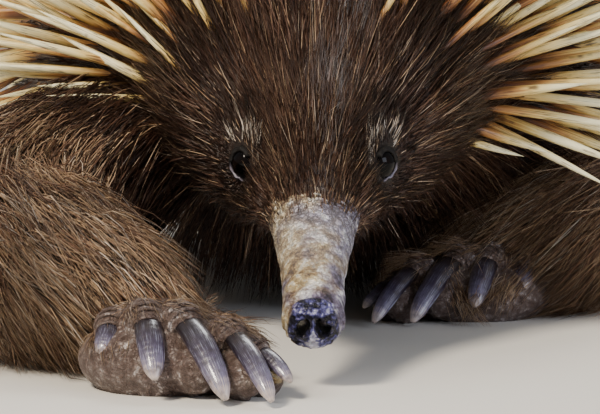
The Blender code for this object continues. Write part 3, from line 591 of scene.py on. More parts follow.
def volume(points: np.ndarray, triangles: np.ndarray) -> float:
    """The signed volume that the triangles close in."""
    a, b, c = (points[triangles[:, k]] for k in range(3))
    return float(np.einsum("ij,ij->i", a, np.cross(b, c)).sum() / 6)


def between(near: np.ndarray, far: np.ndarray, near_after: np.ndarray, far_after: np.ndarray) -> np.ndarray:
    """Two triangles for each quad between two rings of corners."""
    first = np.stack([near, near_after, far_after], axis=-1).reshape(-1, 3)
    second = np.stack([near, far_after, far], axis=-1).reshape(-1, 3)
    return np.concatenate([first, second])


def tube(rings: np.ndarray) -> tuple[np.ndarray, np.ndarray]:
    """A closed tube through rings of corners, shut by a fan at each end.

    Args:
        rings: the corners by ring and side.

    Returns:
        The corners, with the two poles last, and the triangles.
    """
    count, sides = rings.shape[:2]
    poles = rings[[0, -1]].mean(axis=1)
    points = np.concatenate([rings.reshape(-1, 3), poles])
    side = np.arange(sides)
    after = (side + 1) % sides
    base = (np.arange(count - 1) * sides)[:, None]
    walls = between(base + side, base + sides + side, base + after, base + sides + after)
    last = (count - 1) * sides
    front = np.stack([np.full(sides, count * sides), after, side], axis=-1)
    back = np.stack([np.full(sides, count * sides + 1), last + side, last + after], axis=-1)
    triangles = np.concatenate([walls, front, back])
    return points, triangles if volume(points, triangles) > 0 else triangles[:, ::-1]


def hoop(rings: np.ndarray) -> tuple[np.ndarray, np.ndarray]:
    """A closed ring through loops of corners, whose last loop meets its first.

    Args:
        rings: the corners by loop and side.

    Returns:
        The corners and the triangles.
    """
    count, sides = rings.shape[:2]
    points = rings.reshape(-1, 3)
    side = np.arange(sides)
    after = (side + 1) % sides
    base = (np.arange(count) * sides)[:, None]
    next_base = np.roll(base, -1, axis=0)
    triangles = between(base + side, next_base + side, base + after, next_base + after)
    return points, triangles if volume(points, triangles) > 0 else triangles[:, ::-1]


def join(parts: list[tuple[np.ndarray, np.ndarray]]) -> tuple[np.ndarray, np.ndarray]:
    """Several meshes' corners and triangles as one."""
    starts = np.cumsum([0] + [len(points) for points, _ in parts[:-1]])
    points = np.concatenate([points for points, _ in parts])
    return points, np.concatenate([triangles + start for (_, triangles), start in zip(parts, starts)])


def mesh_object(
    name: str, points: np.ndarray, triangles: np.ndarray, **values: np.ndarray
) -> bpy.types.Object:
    """A smooth mesh object at the origin.

    Args:
        name: the piece's name.
        points: the corners in metres.
        triangles: three corner numbers each.
        values: what the corners keep for the material, by name.

    Returns:
        The object, linked to the scene.
    """
    mesh = bpy.data.meshes.new(name)
    mesh.vertices.add(len(points))
    mesh.vertices.foreach_set("co", np.ascontiguousarray(points, np.float32).ravel())
    mesh.loops.add(triangles.size)
    mesh.loops.foreach_set("vertex_index", np.ascontiguousarray(triangles, np.int32).ravel())
    mesh.polygons.add(len(triangles))
    mesh.polygons.foreach_set("loop_start", np.arange(0, triangles.size, 3, dtype=np.int32))
    mesh.update(calc_edges=True)
    mesh.shade_smooth()
    for key, value in values.items():
        layer = mesh.attributes.new(key, "FLOAT", "POINT")
        layer.data.foreach_set("value", np.ascontiguousarray(value, np.float32).ravel())
    made = bpy.data.objects.new(name, mesh)
    bpy.context.scene.collection.objects.link(made)
    return made


def settle(obj: bpy.types.Object) -> bpy.types.Object:
    """Makes the modifiers' result the object's own mesh and takes them off."""
    graph = bpy.context.evaluated_depsgraph_get()
    result = bpy.data.meshes.new_from_object(obj.evaluated_get(graph))
    obj.modifiers.clear()
    obj.data = result
    return obj


def corners_of(obj: bpy.types.Object) -> np.ndarray:
    """The corners of an object's mesh."""
    found = np.zeros(len(obj.data.vertices) * 3, np.float32)
    obj.data.vertices.foreach_get("co", found)
    return found.reshape(-1, 3).astype(float)


def finish_piece(piece: bpy.types.Object, finish: Finish, *replaced: str) -> None:
    """Dresses a finished piece and ties it to the frame.

    Args:
        piece: the piece's object.
        finish: what it is made of.
        replaced: the nodes that it stands for.
    """
    piece.data.materials.clear()
    piece.data.materials.append(material_of(finish))
    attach(piece, "root")
    if replaced:
        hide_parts(*replaced)
    log.info("%s: %d faces", piece.name, len(piece.data.polygons))


def fur_line(angle: np.ndarray) -> np.ndarray:
    """How far behind the nose the fur starts, in mm: nearest on the bridge and furthest under the chin."""
    rise = np.sin(angle)
    return np.where(rise > 0, 45.5 - 6.0 * rise, 45.5 - 10.0 * rise)


def from_eye(points: np.ndarray) -> np.ndarray:
    """The way from the eye on its own side to each place."""
    angles = np.array([BUILD.eye_angle, math.pi - BUILD.eye_angle])
    left, right = TRUNK.points(np.full(2, BUILD.eye_at * MM), angles)
    return points - np.where(points[..., :1] > SHIFT[0], left, right)


def eye_distance(points: np.ndarray) -> np.ndarray:
    """How far places are from the eye on their own side."""
    return np.linalg.norm(from_eye(points), axis=-1)


def coat_share(s: np.ndarray, angle: np.ndarray) -> np.ndarray:
    """The share of the coat's depth that the skin lies inside the trunk: none where it is bare."""
    away = eye_distance(TRUNK.points(s, angle))
    return smooth(1.0, 16.0, s / MM - fur_line(angle)) * smooth(6.5 * MM, 12.0 * MM, away)


@dataclass
class Skin:
    """The one skin that stands for all the flesh: trunk, limbs, paws and ears."""

    sides: int = 144
    leg_sides: int = 36
    coat_depth: float = 1.5
    voxel: float = 0.75
    nostril_across: float = 2.15
    nostril_rise: float = 1.3
    nostril_half_width: float = 1.55
    nostril_half_height: float = 2.25
    nostril_depth: float = 4.2
    mouth_drop: float = 3.0
    pad_length: float = 3.8
    pad_over: float = 1.4
    pad_half_width: float = 5.6
    pad_half_height: float = 5.4

    def spacing(self) -> np.ndarray:
        """Distances of the trunk's rings in metres, close together where the skin is bare."""
        stretches = [
            (0.0, 1.2, 0.12), (1.2, 8.0, 0.25), (8.0, 46.0, 0.6), (46.0, 70.0, 0.5), (70.0, 110.0, 1.4),
        ]
        rings = [np.arange(*stretch) for stretch in stretches]
        rings.append(np.arange(110.0, TRUNK.length / MM, 4.0))
        return np.concatenate([*rings, [TRUNK.length / MM]]) * MM

    def trunk(self) -> tuple[np.ndarray, np.ndarray]:
        """The trunk from the domed end of the nose to the tail."""
        angles = np.arange(self.sides) * TURN / self.sides
        s = self.spacing()[:, None]
        rings = TRUNK.points(s, angles, -self.coat_depth * MM * coat_share(s, angles))
        centre, _, _, along = (part[0] for part in TRUNK.frames(np.array([0.0])))
        shares = np.linspace(0.05, 0.97, 15)[:, None, None]
        dome = 0.7 * MM * (1.0 - shares**2)
        front = centre + (rings[0] - centre) * shares - along * dome
        rings = np.concatenate([front, rings])
        shape = rings.shape
        return tube(self.relief(rings.reshape(-1, 3)).reshape(shape))

    def relief(self, points: np.ndarray) -> np.ndarray:
        """Carves the nostrils, the mouth, the pad of the nose and the creases of the beak.

        Args:
            points: the smooth trunk's corners.

        Returns:
            The carved corners.
        """
        centre, side, up, along = (part[0] for part in TRUNK.frames(np.array([0.0])))
        local = (points - centre) / MM
        across, rise, back = local @ side, local @ up, local @ along
        spokes = points - (centre + along * (back * MM)[:, None])
        outward = unit(spokes)
        edge = self.pad_edge(rise)
        pad = 1.0 - smooth(edge - 0.8, edge, back)
        beak = smooth(edge, edge + 2.0, back) * (1.0 - smooth(52.0, 62.0, back))
        out = pad * (0.16 * ripple(points, 0.8 * MM, 1) + 0.10 * ripple(points, 1.7 * MM, 2))
        out -= 0.40 * np.exp(-(((back - edge - 0.1) / 0.4) ** 2))
        out += 0.25 * np.exp(-(((back - edge - 1.3) / 0.8) ** 2))
        creases = np.sin(back * TURN / 1.9 + 2.5 * ripple(points, 7 * MM, 3)) * smooth(28.0, 42.0, back)
        knobs = 0.22 * ripple(points, 3.4 * MM, 4) + 0.09 * ripple(points, 1.3 * MM, 5)
        out += beak * (0.16 * creases + knobs)
        lips = (1.0 - smooth(6.5, 8.0, back)) * smooth(1.0, -1.0, rise)
        level = np.abs(rise + self.mouth_drop)
        out += lips * (0.18 * np.exp(-(((level - 0.9) / 0.4) ** 2)) - 0.8 * np.exp(-((level / 0.3) ** 2)))
        reach = self.nostrils(across, rise)
        push = self.nostril_depth * smooth(1.0, 0.72, reach) - 0.22 * np.exp(-(((reach - 1.12) / 0.16) ** 2))
        push *= 1.0 - smooth(2.2, 3.2, back)
        return points + outward * (out * MM)[:, None] + along * (push * MM)[:, None]

    def pad_edge(self, rise: np.ndarray) -> np.ndarray:
        """How far back the pad of the nose reaches, in mm, at a height above the beak's line."""
        return self.pad_length + self.pad_over * np.clip(rise / self.pad_half_height, 0.0, 1.0)

    def nostrils(self, across: np.ndarray, rise: np.ndarray) -> np.ndarray:
        """How far places on the nose lie from the nearer nostril's middle, as shares of its half size."""
        lean = -0.3 * (rise - self.nostril_rise)
        x = (np.abs(across) - self.nostril_across - lean) / self.nostril_half_width
        z = (rise - self.nostril_rise) / self.nostril_half_height
        return np.sqrt(x * x + z * z)

    def leg(self, name: str) -> tuple[np.ndarray, np.ndarray]:
        """A leg from inside the body to inside its paw."""
        loft = LEGS[name]
        s = np.linspace(0.0, loft.length, 34)[:, None]
        angles = np.arange(self.leg_sides) * TURN / self.leg_sides
        grow = -self.coat_depth * MM * (1.0 - smooth(0.75, 1.0, s / loft.length))
        return tube(loft.points(s, angles, grow))

    def ear(self, right: bool) -> tuple[np.ndarray, np.ndarray]:
        """The raised rim of an ear's upright slit."""
        return Rim(BUILD.ear_at, BUILD.ear_angle, 2.2, 5.6, 2.6, 2.6).shell(right)

    def build(self) -> bpy.types.Object:
        """Joins the parts into one closed skin that knows where its beak, nose and paws are."""
        skin = mesh_object("skin", *self.trunk())
        group = bpy.data.collections.new("limbs")
        bpy.context.scene.collection.children.link(group)
        shells = [(name, self.leg(name)) for name in LEGS]
        shells += [(f"ear_{right}", self.ear(right)) for right in (False, True)]
        pieces = [mesh_object(name, *shell) for name, shell in shells]
        pieces += [paw.flesh(self.voxel) for paw in PAWS]
        for piece in pieces:
            bpy.context.scene.collection.objects.unlink(piece)
            group.objects.link(piece)
        union = skin.modifiers.new("union", "BOOLEAN")
        union.operation = "UNION"
        union.operand_type = "COLLECTION"
        union.collection = group
        union.solver = "MANIFOLD"
        settle(skin)
        for piece in pieces:
            bpy.data.objects.remove(piece)
        bpy.data.collections.remove(group)
        self.mark(skin)
        skin.data.shade_smooth()
        return skin

    def mark(self, skin: bpy.types.Object) -> None:
        """Keeps on the corners how much beak, nose and paw each one is."""
        points = corners_of(skin)
        centre, side, up, along = (part[0] for part in TRUNK.frames(np.array([0.0])))
        back = (points - centre) @ along / MM
        rise = points[:, 2] / MM
        ahead = points[:, 0] / MM
        snout = (back < 75.0) & (np.abs(ahead) < 26.0) & (rise > 3.0)
        from_axis = np.linalg.norm(points - (centre + along * (back * MM)[:, None]), axis=1) / MM
        snout &= from_axis < 27.0
        beak = np.where(snout, 1.0 - smooth(42.0, 56.0, back + 4.0 * ripple(points, 5 * MM, 9)), 0.0)
        local = (points - centre) / MM
        across, height = local @ side, local @ up
        tall = np.where(height > 0, self.pad_half_height + self.pad_over, self.pad_half_height)
        wide = np.sqrt((across / self.pad_half_width) ** 2 + (height / tall) ** 2)
        edge = self.pad_edge(height)
        nose = 1.0 - smooth(edge - 0.5, edge + 0.1, back)
        nose = np.where(snout & (from_axis < 9.0), nose * smooth(1.06, 0.98, wide), 0.0)
        hole = self.nostrils(across, height)
        # Painted shade: how far into a nostril each place lies, to be painted near black.
        pit = nose * smooth(1.12, 0.85, hole)
        # Painted highlight: the wet pad is painted paler on the septum, below the nostrils and along the pad's
        # upper edge, where light would gather.
        gleam = np.exp(-((across / 1.0) ** 2)) * smooth(4.0, 2.8, height)
        gleam += np.exp(-(((height + 3.2) / 1.3) ** 2 + (across / 3.2) ** 2))
        gleam += 0.6 * np.exp(-(((height - 4.7) / 0.6) ** 2))
        gleam = np.clip(gleam, 0.0, 1.0) * smooth(1.1, 1.5, hole)
        paws = np.zeros(len(points))
        for paw in PAWS:
            away = np.linalg.norm(points[:, :2] - paw.centre[:2], axis=1) / MM
            low = 1.0 - smooth(16.0, 26.0, rise)
            paws = np.maximum(paws, (1.0 - smooth(30.0, 38.0, away)) * low)
        paws = np.where(snout & (from_axis < 9.5), 0.0, paws)
        back = np.clip(back / 60.0, 0.0, 1.0)
        marks = {"beak": beak, "nose": nose, "pit": pit, "gleam": gleam, "paw": paws, "back": back}
        for key, value in marks.items():
            layer = skin.data.attributes.new(key, "FLOAT", "POINT")
            layer.data.foreach_set("value", value.astype(np.float32))


@dataclass(frozen=True)
class Rim:
    """A raised ring of skin round an opening in the head, in mm."""

    at: float
    angle: float
    half_length: float
    half_height: float
    width: float
    height: float
    segments: int = 64

    def loops(self, right: bool) -> np.ndarray:
        """The ring's corners: a section round the opening for each segment."""
        angle = math.pi - self.angle if right else self.angle
        hand = -1.0 if right else 1.0
        at = np.array([self.at * MM])
        out = TRUNK.lie(at, np.array([angle]))[2][0]
        turn = np.arange(self.segments)[:, None] * TURN / self.segments
        # Each corner of the section: its share of the width outwards, and its share of the height.
        section = np.array([
            (1.0, -0.55), (0.82, -0.02), (0.6, 0.30), (0.42, 0.62), (0.28, 0.86), (0.14, 1.0), (0.03, 0.96),
            (-0.03, 0.78), (0.0, 0.45), (0.3, -0.3), (0.7, -0.75),
        ])
        share, lift = section[:, 0], section[:, 1]
        fold = 1.0 + 0.10 * np.sin(3 * turn + 1.0) + 0.06 * np.sin(7 * turn)
        along = (self.half_length + share * self.width * fold) * np.cos(turn)
        around = (self.half_height + share * self.width * fold) * np.sin(turn)
        wide = float(TRUNK.rows_at(at)[0, 3]) / MM
        spots = TRUNK.points((self.at + along) * MM, angle + hand * around / wide)
        return spots + out * (lift * self.height * MM)[:, None]

    def shell(self, right: bool) -> tuple[np.ndarray, np.ndarray]:
        """The ring as corners and triangles."""
        return hoop(self.loops(right))


@dataclass
class Eye:
    """A small round eye between lids that hug it."""

    right: bool
    rings: int = 26
    sides: int = 40
    # The opening looks further forward than the head's side does.
    turn_ahead: float = math.radians(30)
    half_length: float = math.radians(44)
    half_height: float = math.radians(38)
    reach: float = math.radians(68)
    segments: int = 72

    def __post_init__(self) -> None:
        """Finds the eye's centre and directions."""
        angle = math.pi - BUILD.eye_angle if self.right else BUILD.eye_angle
        at = np.array([BUILD.eye_at * MM])
        self.along, self.around, self.out = (part[0] for part in TRUNK.lie(at, np.array([angle])))
        self.up = -self.around if self.right else self.around
        self.centre = TRUNK.points(at, np.array([angle]))[0] - self.out * BUILD.eye_sunk * MM
        self.look = unit(self.out * math.cos(self.turn_ahead) - self.along * math.sin(self.turn_ahead))

    @property
    def side(self) -> str:
        """The name of the eye's side."""
        return "right" if self.right else "left"

    def ball(self) -> bpy.types.Object:
        """The eyeball, with its pole where the eye looks."""
        level = unit(np.cross(self.up, self.look))
        tilt = np.linspace(0.03, math.pi - 0.03, self.rings)[:, None]
        turn = np.arange(self.sides) * TURN / self.sides
        ring = level * np.cos(turn)[:, None] + np.cross(self.look, level) * np.sin(turn)[:, None]
        rings = ring[None] * np.sin(tilt)[..., None] + self.look * np.cos(tilt)[..., None]
        points, triangles = tube(self.centre + rings * BUILD.eye_radius * MM)
        away = np.linalg.norm(np.cross(points - self.centre, self.look), axis=1) / (BUILD.eye_radius * MM)
        away = np.where((points - self.centre) @ self.look > 0, away, 1.0)
        return mesh_object(f"eyeball_{self.side}", points, triangles, away=away)

    def lid(self) -> bpy.types.Object:
        """The lids, creased round the eye and moist along the lower edge behind."""
        turn = np.arange(self.segments)[:, None] * TURN / self.segments
        # Quarter turns point back along the head, up, ahead and down.
        back, up = np.cos(turn), np.sin(turn)
        opening = self.half_length * np.abs(back) + self.half_height * np.abs(up)
        near = self.spoke(self.look, back, up, opening)
        far = self.spoke(self.out, back, up, np.full_like(turn, self.reach))
        # Each corner of the section: its share of the way out over the ball, and its distance from the ball.
        section = np.array([
            (1.0, -1.0), (1.0, 0.10), (0.82, 0.34), (0.66, 0.26), (0.52, 0.50), (0.38, 0.36), (0.25, 0.58),
            (0.13, 0.50), (0.05, 0.46), (0.0, 0.32), (0.01, 0.10), (0.05, -0.2), (0.5, -0.8),
        ])
        share, height = section[:, 0][None, :, None], section[:, 1][None, :]
        ways = unit(near[:, None] * (1 - share) + far[:, None] * share)
        brow = 0.35 * np.maximum(up, 0) * np.sin(math.pi * section[:, 0])[None, :] * (height > 0)
        wrinkle = 0.10 * np.sin(turn * 11 + 3) * (height > 0.2)
        radius = (BUILD.eye_radius + height + brow + wrinkle) * MM
        inner = np.zeros(len(section))
        inner[8:11] = (0.6, 1.0, 0.8)
        low = smooth(0.05, 0.7, -up) * smooth(-0.75, -0.1, back)
        shell = hoop(self.centre + ways * radius[..., None])
        return mesh_object(f"lids_{self.side}", *shell, moist=(low * inner).reshape(-1))

    def spoke(self, axis: np.ndarray, back: np.ndarray, up: np.ndarray, tilt: np.ndarray) -> np.ndarray:
        """Directions that lean away from an axis, for each turn round it.

        Args:
            axis: the axis.
            back: how far the lean goes back along the head.
            up: how far it goes up.
            tilt: the angle between the axis and the direction.

        Returns:
            A unit vector for each turn.
        """
        rear = unit(self.along - axis * (self.along @ axis))
        over = unit(self.up - axis * (self.up @ axis))
        return axis * np.cos(tilt) + (rear * back + over * up) * np.sin(tilt)

    def build(self) -> None:
        """Makes the ball and its lids."""
        finish_piece(self.ball(), Finish.EYE, f"eye_{self.side}")
        finish_piece(self.lid(), Finish.LID)


@dataclass(frozen=True)
class Claw:
    """A claw on its toe: root and tip as mm to the outside, ahead and up from the paw's centre."""

    root: tuple[float, float, float]
    tip: tuple[float, float, float]
    half_width: float


FORE_CLAWS = (
    Claw((-20.0, 13.0, 9.0), (-27.0, 21.0, 4.0), 1.9),
    Claw((-14.5, 16.0, 12.5), (-23.5, 32.0, 1.6), 2.6),
    Claw((-4.0, 13.5, 15.0), (-13.7, 30.0, 1.6), 3.1),
    Claw((4.6, 12.5, 15.0), (1.8, 25.0, 5.0), 3.1),
    Claw((13.0, 6.8, 13.0), (14.2, 13.5, 8.5), 2.9),
)
HIND_CLAWS = (
    Claw((-13.0, 9.0, 8.0), (-18.0, 15.0, 3.5), 2.0),
    Claw((-7.0, 14.0, 10.0), (-16.0, 38.0, 2.0), 2.4),
    Claw((0.5, 15.0, 10.0), (-2.0, 34.0, 2.0), 2.6),
    Claw((8.0, 12.5, 9.5), (10.0, 24.0, 3.0), 2.3),
    Claw((13.5, 7.5, 8.5), (18.0, 14.0, 3.5), 2.0),
)


@dataclass
class Paw:
    """A broad flat paw with its toes and claws, in mm."""

    name: str
    spot: tuple[float, float]
    heading: float
    out: int
    pad: tuple[float, float, float]
    claws: tuple[Claw, ...]
    level: float = 6.0
    depth: float = 10.0
    toe_flesh: float = 1.0
    toe_length: float = 13.0
    bow: float = 0.09

    def __post_init__(self) -> None:
        """Finds the paw's own directions."""
        turn = math.radians(self.heading)
        self.centre = np.array([*self.spot, 0.0]) * MM + np.array(SHIFT)
        self.ahead = np.array([math.sin(turn), -math.cos(turn), 0.0])
        self.side = np.array([self.ahead[1], -self.ahead[0], 0.0])
        self.outer = self.side * -self.out

    def place(self, across: float, ahead: float, height: float) -> np.ndarray:
        """A place on the paw, in metres."""
        flat = self.centre + self.outer * (across * MM) + self.ahead * (ahead * MM)
        return np.array([flat[0], flat[1], height * MM])

    def loft(self, stations: list[tuple]) -> Loft:
        """A loft whose side is level with the paw's."""
        return Loft(stations, tuple(self.side))

    def pad_loft(self) -> Loft:
        """The sole and back of the paw."""
        half_width, half_length, height = self.pad
        stations = []
        for turn in (-80, -55, -28, 0, 28, 52, 72, 82):
            share = math.cos(math.radians(turn))
            spot = self.place(0.0, half_length * math.sin(math.radians(turn)), self.level) / MM
            reaches = (half_width, height - self.level, self.depth)
            stations.append((*spot, *(reach * share for reach in reaches)))
        return self.loft(stations)

    def toe_loft(self, claw: Claw) -> Loft:
        """A toe that swells at its knuckle and tucks in round the root of its claw."""
        root, tip = self.place(*claw.root) / MM, self.place(*claw.tip) / MM
        along = unit(tip - root)
        heel = root - unit(along * (1.0, 1.0, 0.2)) * self.toe_length
        thick = claw.half_width + self.toe_flesh
        stations = [
            (*heel, thick * 0.9, thick * 0.8, thick * 0.8),
            (*(heel * 0.4 + root * 0.6), thick * 1.12, thick, thick),
            (*root, thick * 0.95, thick * 0.85, thick * 0.9),
            (*(root + along * 1.2), thick * 0.7, thick * 0.6, thick * 0.9),
        ]
        return self.loft(stations)

    def ball_loft(self, claw: Claw) -> Loft:
        """The soft ball of the toe under its claw."""
        root, tip = self.place(*claw.root) / MM, self.place(*claw.tip) / MM
        flat = unit((tip - root) * (1.0, 1.0, 0.0))
        start = root * (1.0, 1.0, 0.0) + np.array([0.0, 0.0, claw.root[2] * 0.42]) - flat * 7.0
        reach = 7.0 + 0.55 * float(np.linalg.norm((tip - root)[:2]))
        thick = claw.half_width + 2.0
        stations = []
        for share, wide in ((0.0, 0.7), (0.35, 1.0), (0.7, 1.0), (0.9, 0.75), (1.0, 0.35)):
            spot = start + flat * (reach * share)
            stations.append((*spot, thick * wide, thick * wide * 0.9, thick * wide * 1.1))
        return self.loft(stations)

    def flesh(self, voxel: float) -> bpy.types.Object:
        """The paw's skin, remeshed into one soft form whose sole is level.

        Args:
            voxel: the remesh's step in mm.

        Returns:
            The paw's object.
        """
        lofts = [(self.pad_loft(), 30, 48)]
        lofts += [(self.toe_loft(claw), 14, 20) for claw in self.claws]
        lofts += [(self.ball_loft(claw), 14, 20) for claw in self.claws]
        parts = []
        for loft, rings, sides in lofts:
            s = np.linspace(0.0, loft.length, rings)[:, None]
            points, triangles = tube(loft.points(s, np.arange(sides) * TURN / sides))
            parts.append((points, triangles))
        paw = mesh_object(self.name, *join(parts))
        remesh = paw.modifiers.new("remesh", "REMESH")
        remesh.mode = "VOXEL"
        remesh.voxel_size = voxel * MM
        soften = paw.modifiers.new("soften", "SMOOTH")
        soften.iterations = 4
        settle(paw)
        points = corners_of(paw)
        points[:, 2] = np.where(points[:, 2] < 0.6 * MM, 0.0, points[:, 2])
        skin = self.crease(points)
        paw.data.vertices.foreach_set("co", skin.astype(np.float32).ravel())
        bm = bmesh.new()
        bm.from_mesh(paw.data)
        bmesh.ops.dissolve_degenerate(bm, edges=bm.edges, dist=0.01 * MM)
        bmesh.ops.triangulate(bm, faces=bm.faces)
        bm.to_mesh(paw.data)
        bm.free()
        return paw

    def crease(self, points: np.ndarray) -> np.ndarray:
        """Wrinkles the paw's skin everywhere but on the sole."""
        centre = self.place(0.0, 0.0, self.level * 0.5)
        out = unit(points - centre)
        relief = 0.15 * ripple(points, 3.0 * MM, 7) + 0.09 * ripple(points, 1.5 * MM, 8)
        relief *= smooth(0.3, 2.5, points[:, 2] / MM)
        return points + out * (relief * MM)[:, None]

    def nail(self, claw: Claw, number: int) -> bpy.types.Object:
        """One claw, ridged near its root, bowed and blunt.

        Args:
            claw: its sizes.
            number: its place from the inner side.

        Returns:
            The claw's object.
        """
        root, tip = self.place(*claw.root) / MM, self.place(*claw.tip) / MM
        sunk = root - unit(tip - root) * 2.4
        rise = np.array([0.0, 0.0, float(np.linalg.norm(tip - root)) * self.bow])
        stations = []
        profile = ((0.0, 0.86), (0.14, 0.95), (0.34, 1.0), (0.6, 0.95), (0.8, 0.8), (0.92, 0.58), (1.0, 0.2))
        for share, wide in profile:
            spot = sunk + (tip - sunk) * share + rise * (4 * share * (1 - share))
            half = claw.half_width * wide
            stations.append((*spot, half, half * 0.72, half * 0.5))
        loft = self.loft(stations)
        s = np.linspace(0.0, 1.0, 44)[:, None]
        turn = np.arange(28) * TURN / 28
        ridges = np.sin(s * loft.length / MM * TURN / 0.95) * 0.05 * smooth(0.36, 0.10, s)
        flutes = 0.035 * np.sin(turn * 9 + number) * smooth(0.95, 0.5, s)
        rings = loft.points(s * loft.length, turn, (ridges + flutes) * MM)
        points, triangles = tube(rings)
        along = np.append(np.repeat(s[:, 0], len(turn)), (0.0, 1.0))
        around = np.append(np.tile(np.cos(turn), len(s)), (0.0, 0.0))
        points[:, 2] = np.maximum(points[:, 2], 0.2 * MM)
        return mesh_object(f"{self.name}_nail_{number}", points, triangles, along=along, around=around)

    def build(self) -> None:
        """Makes the five claws."""
        for number, claw in enumerate(self.claws, 1):
            finish_piece(self.nail(claw, number), Finish.CLAW, f"{self.name}_claw_{number}")


PAWS = (
    Paw("forefoot_right", (-31, -181), -2, -1, (21.0, 20.0, 17.0), FORE_CLAWS),
    Paw("forefoot_left", (42, -59), -6, 1, (21.0, 20.0, 17.0), FORE_CLAWS),
    Paw("hindfoot_right", (-82, 118), -140, 1, (15.0, 18.0, 13.0), HIND_CLAWS),
    Paw("hindfoot_left", (86, 88), 140, -1, (15.0, 18.0, 13.0), HIND_CLAWS),
)


@dataclass(frozen=True)
class Tile:
    """The place of one loft in the unwrap of the skin."""

    left: float
    low: float
    wide: float
    high: float

    def spot(self, along: np.ndarray, angle: np.ndarray) -> np.ndarray:
        """Where a place on the loft lies in the unwrap.

        Args:
            along: its share of the loft's length.
            angle: its angle round the loft.

        Returns:
            Two coordinates for each.
        """
        turn = np.mod(angle, TURN) / TURN
        return np.stack([self.left + self.wide * turn, self.low + self.high * along], axis=-1)


LOFTS = {"trunk": TRUNK, **LEGS, **{paw.name: paw.pad_loft() for paw in PAWS}}
LOFTS |= {
    f"{paw.name}_toe_{number}": paw.toe_loft(claw) for paw in PAWS for number, claw in enumerate(paw.claws)
}
TILES = {
    "forefoot_right": Tile(0.62, 0.48, 0.16, 0.03),
    "forefoot_left": Tile(0.82, 0.48, 0.16, 0.03),
    "hindfoot_right": Tile(0.62, 0.0, 0.16, 0.02),
    "hindfoot_left": Tile(0.82, 0.0, 0.16, 0.02),
    "trunk": Tile(0.02, 0.02, 0.56, 0.96),
    "foreleg_right": Tile(0.62, 0.52, 0.16, 0.46),
    "foreleg_left": Tile(0.82, 0.52, 0.16, 0.46),
    "hindleg_right": Tile(0.62, 0.02, 0.16, 0.46),
    "hindleg_left": Tile(0.82, 0.02, 0.16, 0.46),
}


@dataclass(frozen=True)
class Zone:
    """A stretch of coat. Lengths and falls are in mm, angles in degrees round the left side and the top."""

    loft: str
    start: float
    end: float
    low: float
    high: float
    count: int
    length: tuple[float, float]
    lift: tuple[float, float]
    fall: float = 0.0
    sweep: float = 0.0
    girth: float = 0.2
    tint: tuple[float, float] = (0.1, 0.6)
    blond: float = 0.06
    mirrored: bool = False

    def sides(self) -> tuple["Zone", ...]:
        """The zone, with its mirror image where it has one."""
        if not self.mirrored:
            return (self,)
        other = {"low": 180 - self.high, "high": 180 - self.low, "sweep": -self.sweep, "mirrored": False}
        return (self, replace(self, **other))


class Ground:
    """The finished skin, which tells where roots lie open."""

    def __init__(self, skin: bpy.types.Object):
        """Reads the skin's surface."""
        corners = [vertex.co for vertex in skin.data.vertices]
        self.tree = BVHTree.FromPolygons(corners, [face.vertices for face in skin.data.polygons])

    def inside(self, spot: np.ndarray) -> bool:
        """Whether a place lies inside the skin."""
        near, normal, _, _ = self.tree.find_nearest(Vector(spot))
        return (Vector(spot) - near).dot(normal) < 0.0

    def open(self, spots: np.ndarray) -> np.ndarray:
        """Which places lie outside the skin."""
        return np.array([not self.inside(spot) for spot in spots], bool)


@dataclass
class Roots:
    """Where the hairs or spines of a zone are rooted, with the lie of the skin there."""

    loft: Loft
    tile: Tile
    s: np.ndarray
    angle: np.ndarray
    points: np.ndarray
    along: np.ndarray
    around: np.ndarray
    out: np.ndarray

    @classmethod
    def sow(cls, zone: Zone, ground: Ground, draw: np.random.Generator, depth: float) -> "Roots":
        """Sows roots evenly over a zone, where the skin lies open.

        Args:
            zone: the stretch of coat.
            ground: the skin.
            draw: the random numbers.
            depth: how far inside the loft the skin lies, in mm.

        Returns:
            The roots.
        """
        loft = LOFTS[zone.loft]
        tries = zone.count * 5
        s = draw.uniform(zone.start, zone.end, tries) * MM
        angle = np.radians(draw.uniform(zone.low, zone.high, tries))
        step = 0.02
        across = loft.points(s, angle + step) - loft.points(s, angle - step)
        area = np.linalg.norm(across, axis=1)
        if zone.loft == "trunk":
            area = area * smooth(-6.0, 7.0, s / MM - fur_line(angle))
        picked = draw.choice(tries, zone.count, replace=False, p=area / area.sum())
        s, angle = s[picked], angle[picked]
        if zone.loft == "trunk":
            depth = ROOT_DEPTH + (depth - ROOT_DEPTH) * coat_share(s, angle)
        points = loft.points(s, angle, -depth * MM)
        along, around, out = loft.lie(s, angle)
        open_spots = ground.open(points + out * np.broadcast_to(depth + 0.7, len(s))[:, None] * MM)
        keep = open_spots & (eye_distance(points) > 4.2 * MM)
        parts = (s, angle, points, along, around, out)
        return cls(loft, TILES[zone.loft.split("_toe_")[0]], *(part[keep] for part in parts))

    def unwrap(self) -> np.ndarray:
        """Each root's place in the unwrap of the skin."""
        return self.tile.spot(self.s / self.loft.length, self.angle)


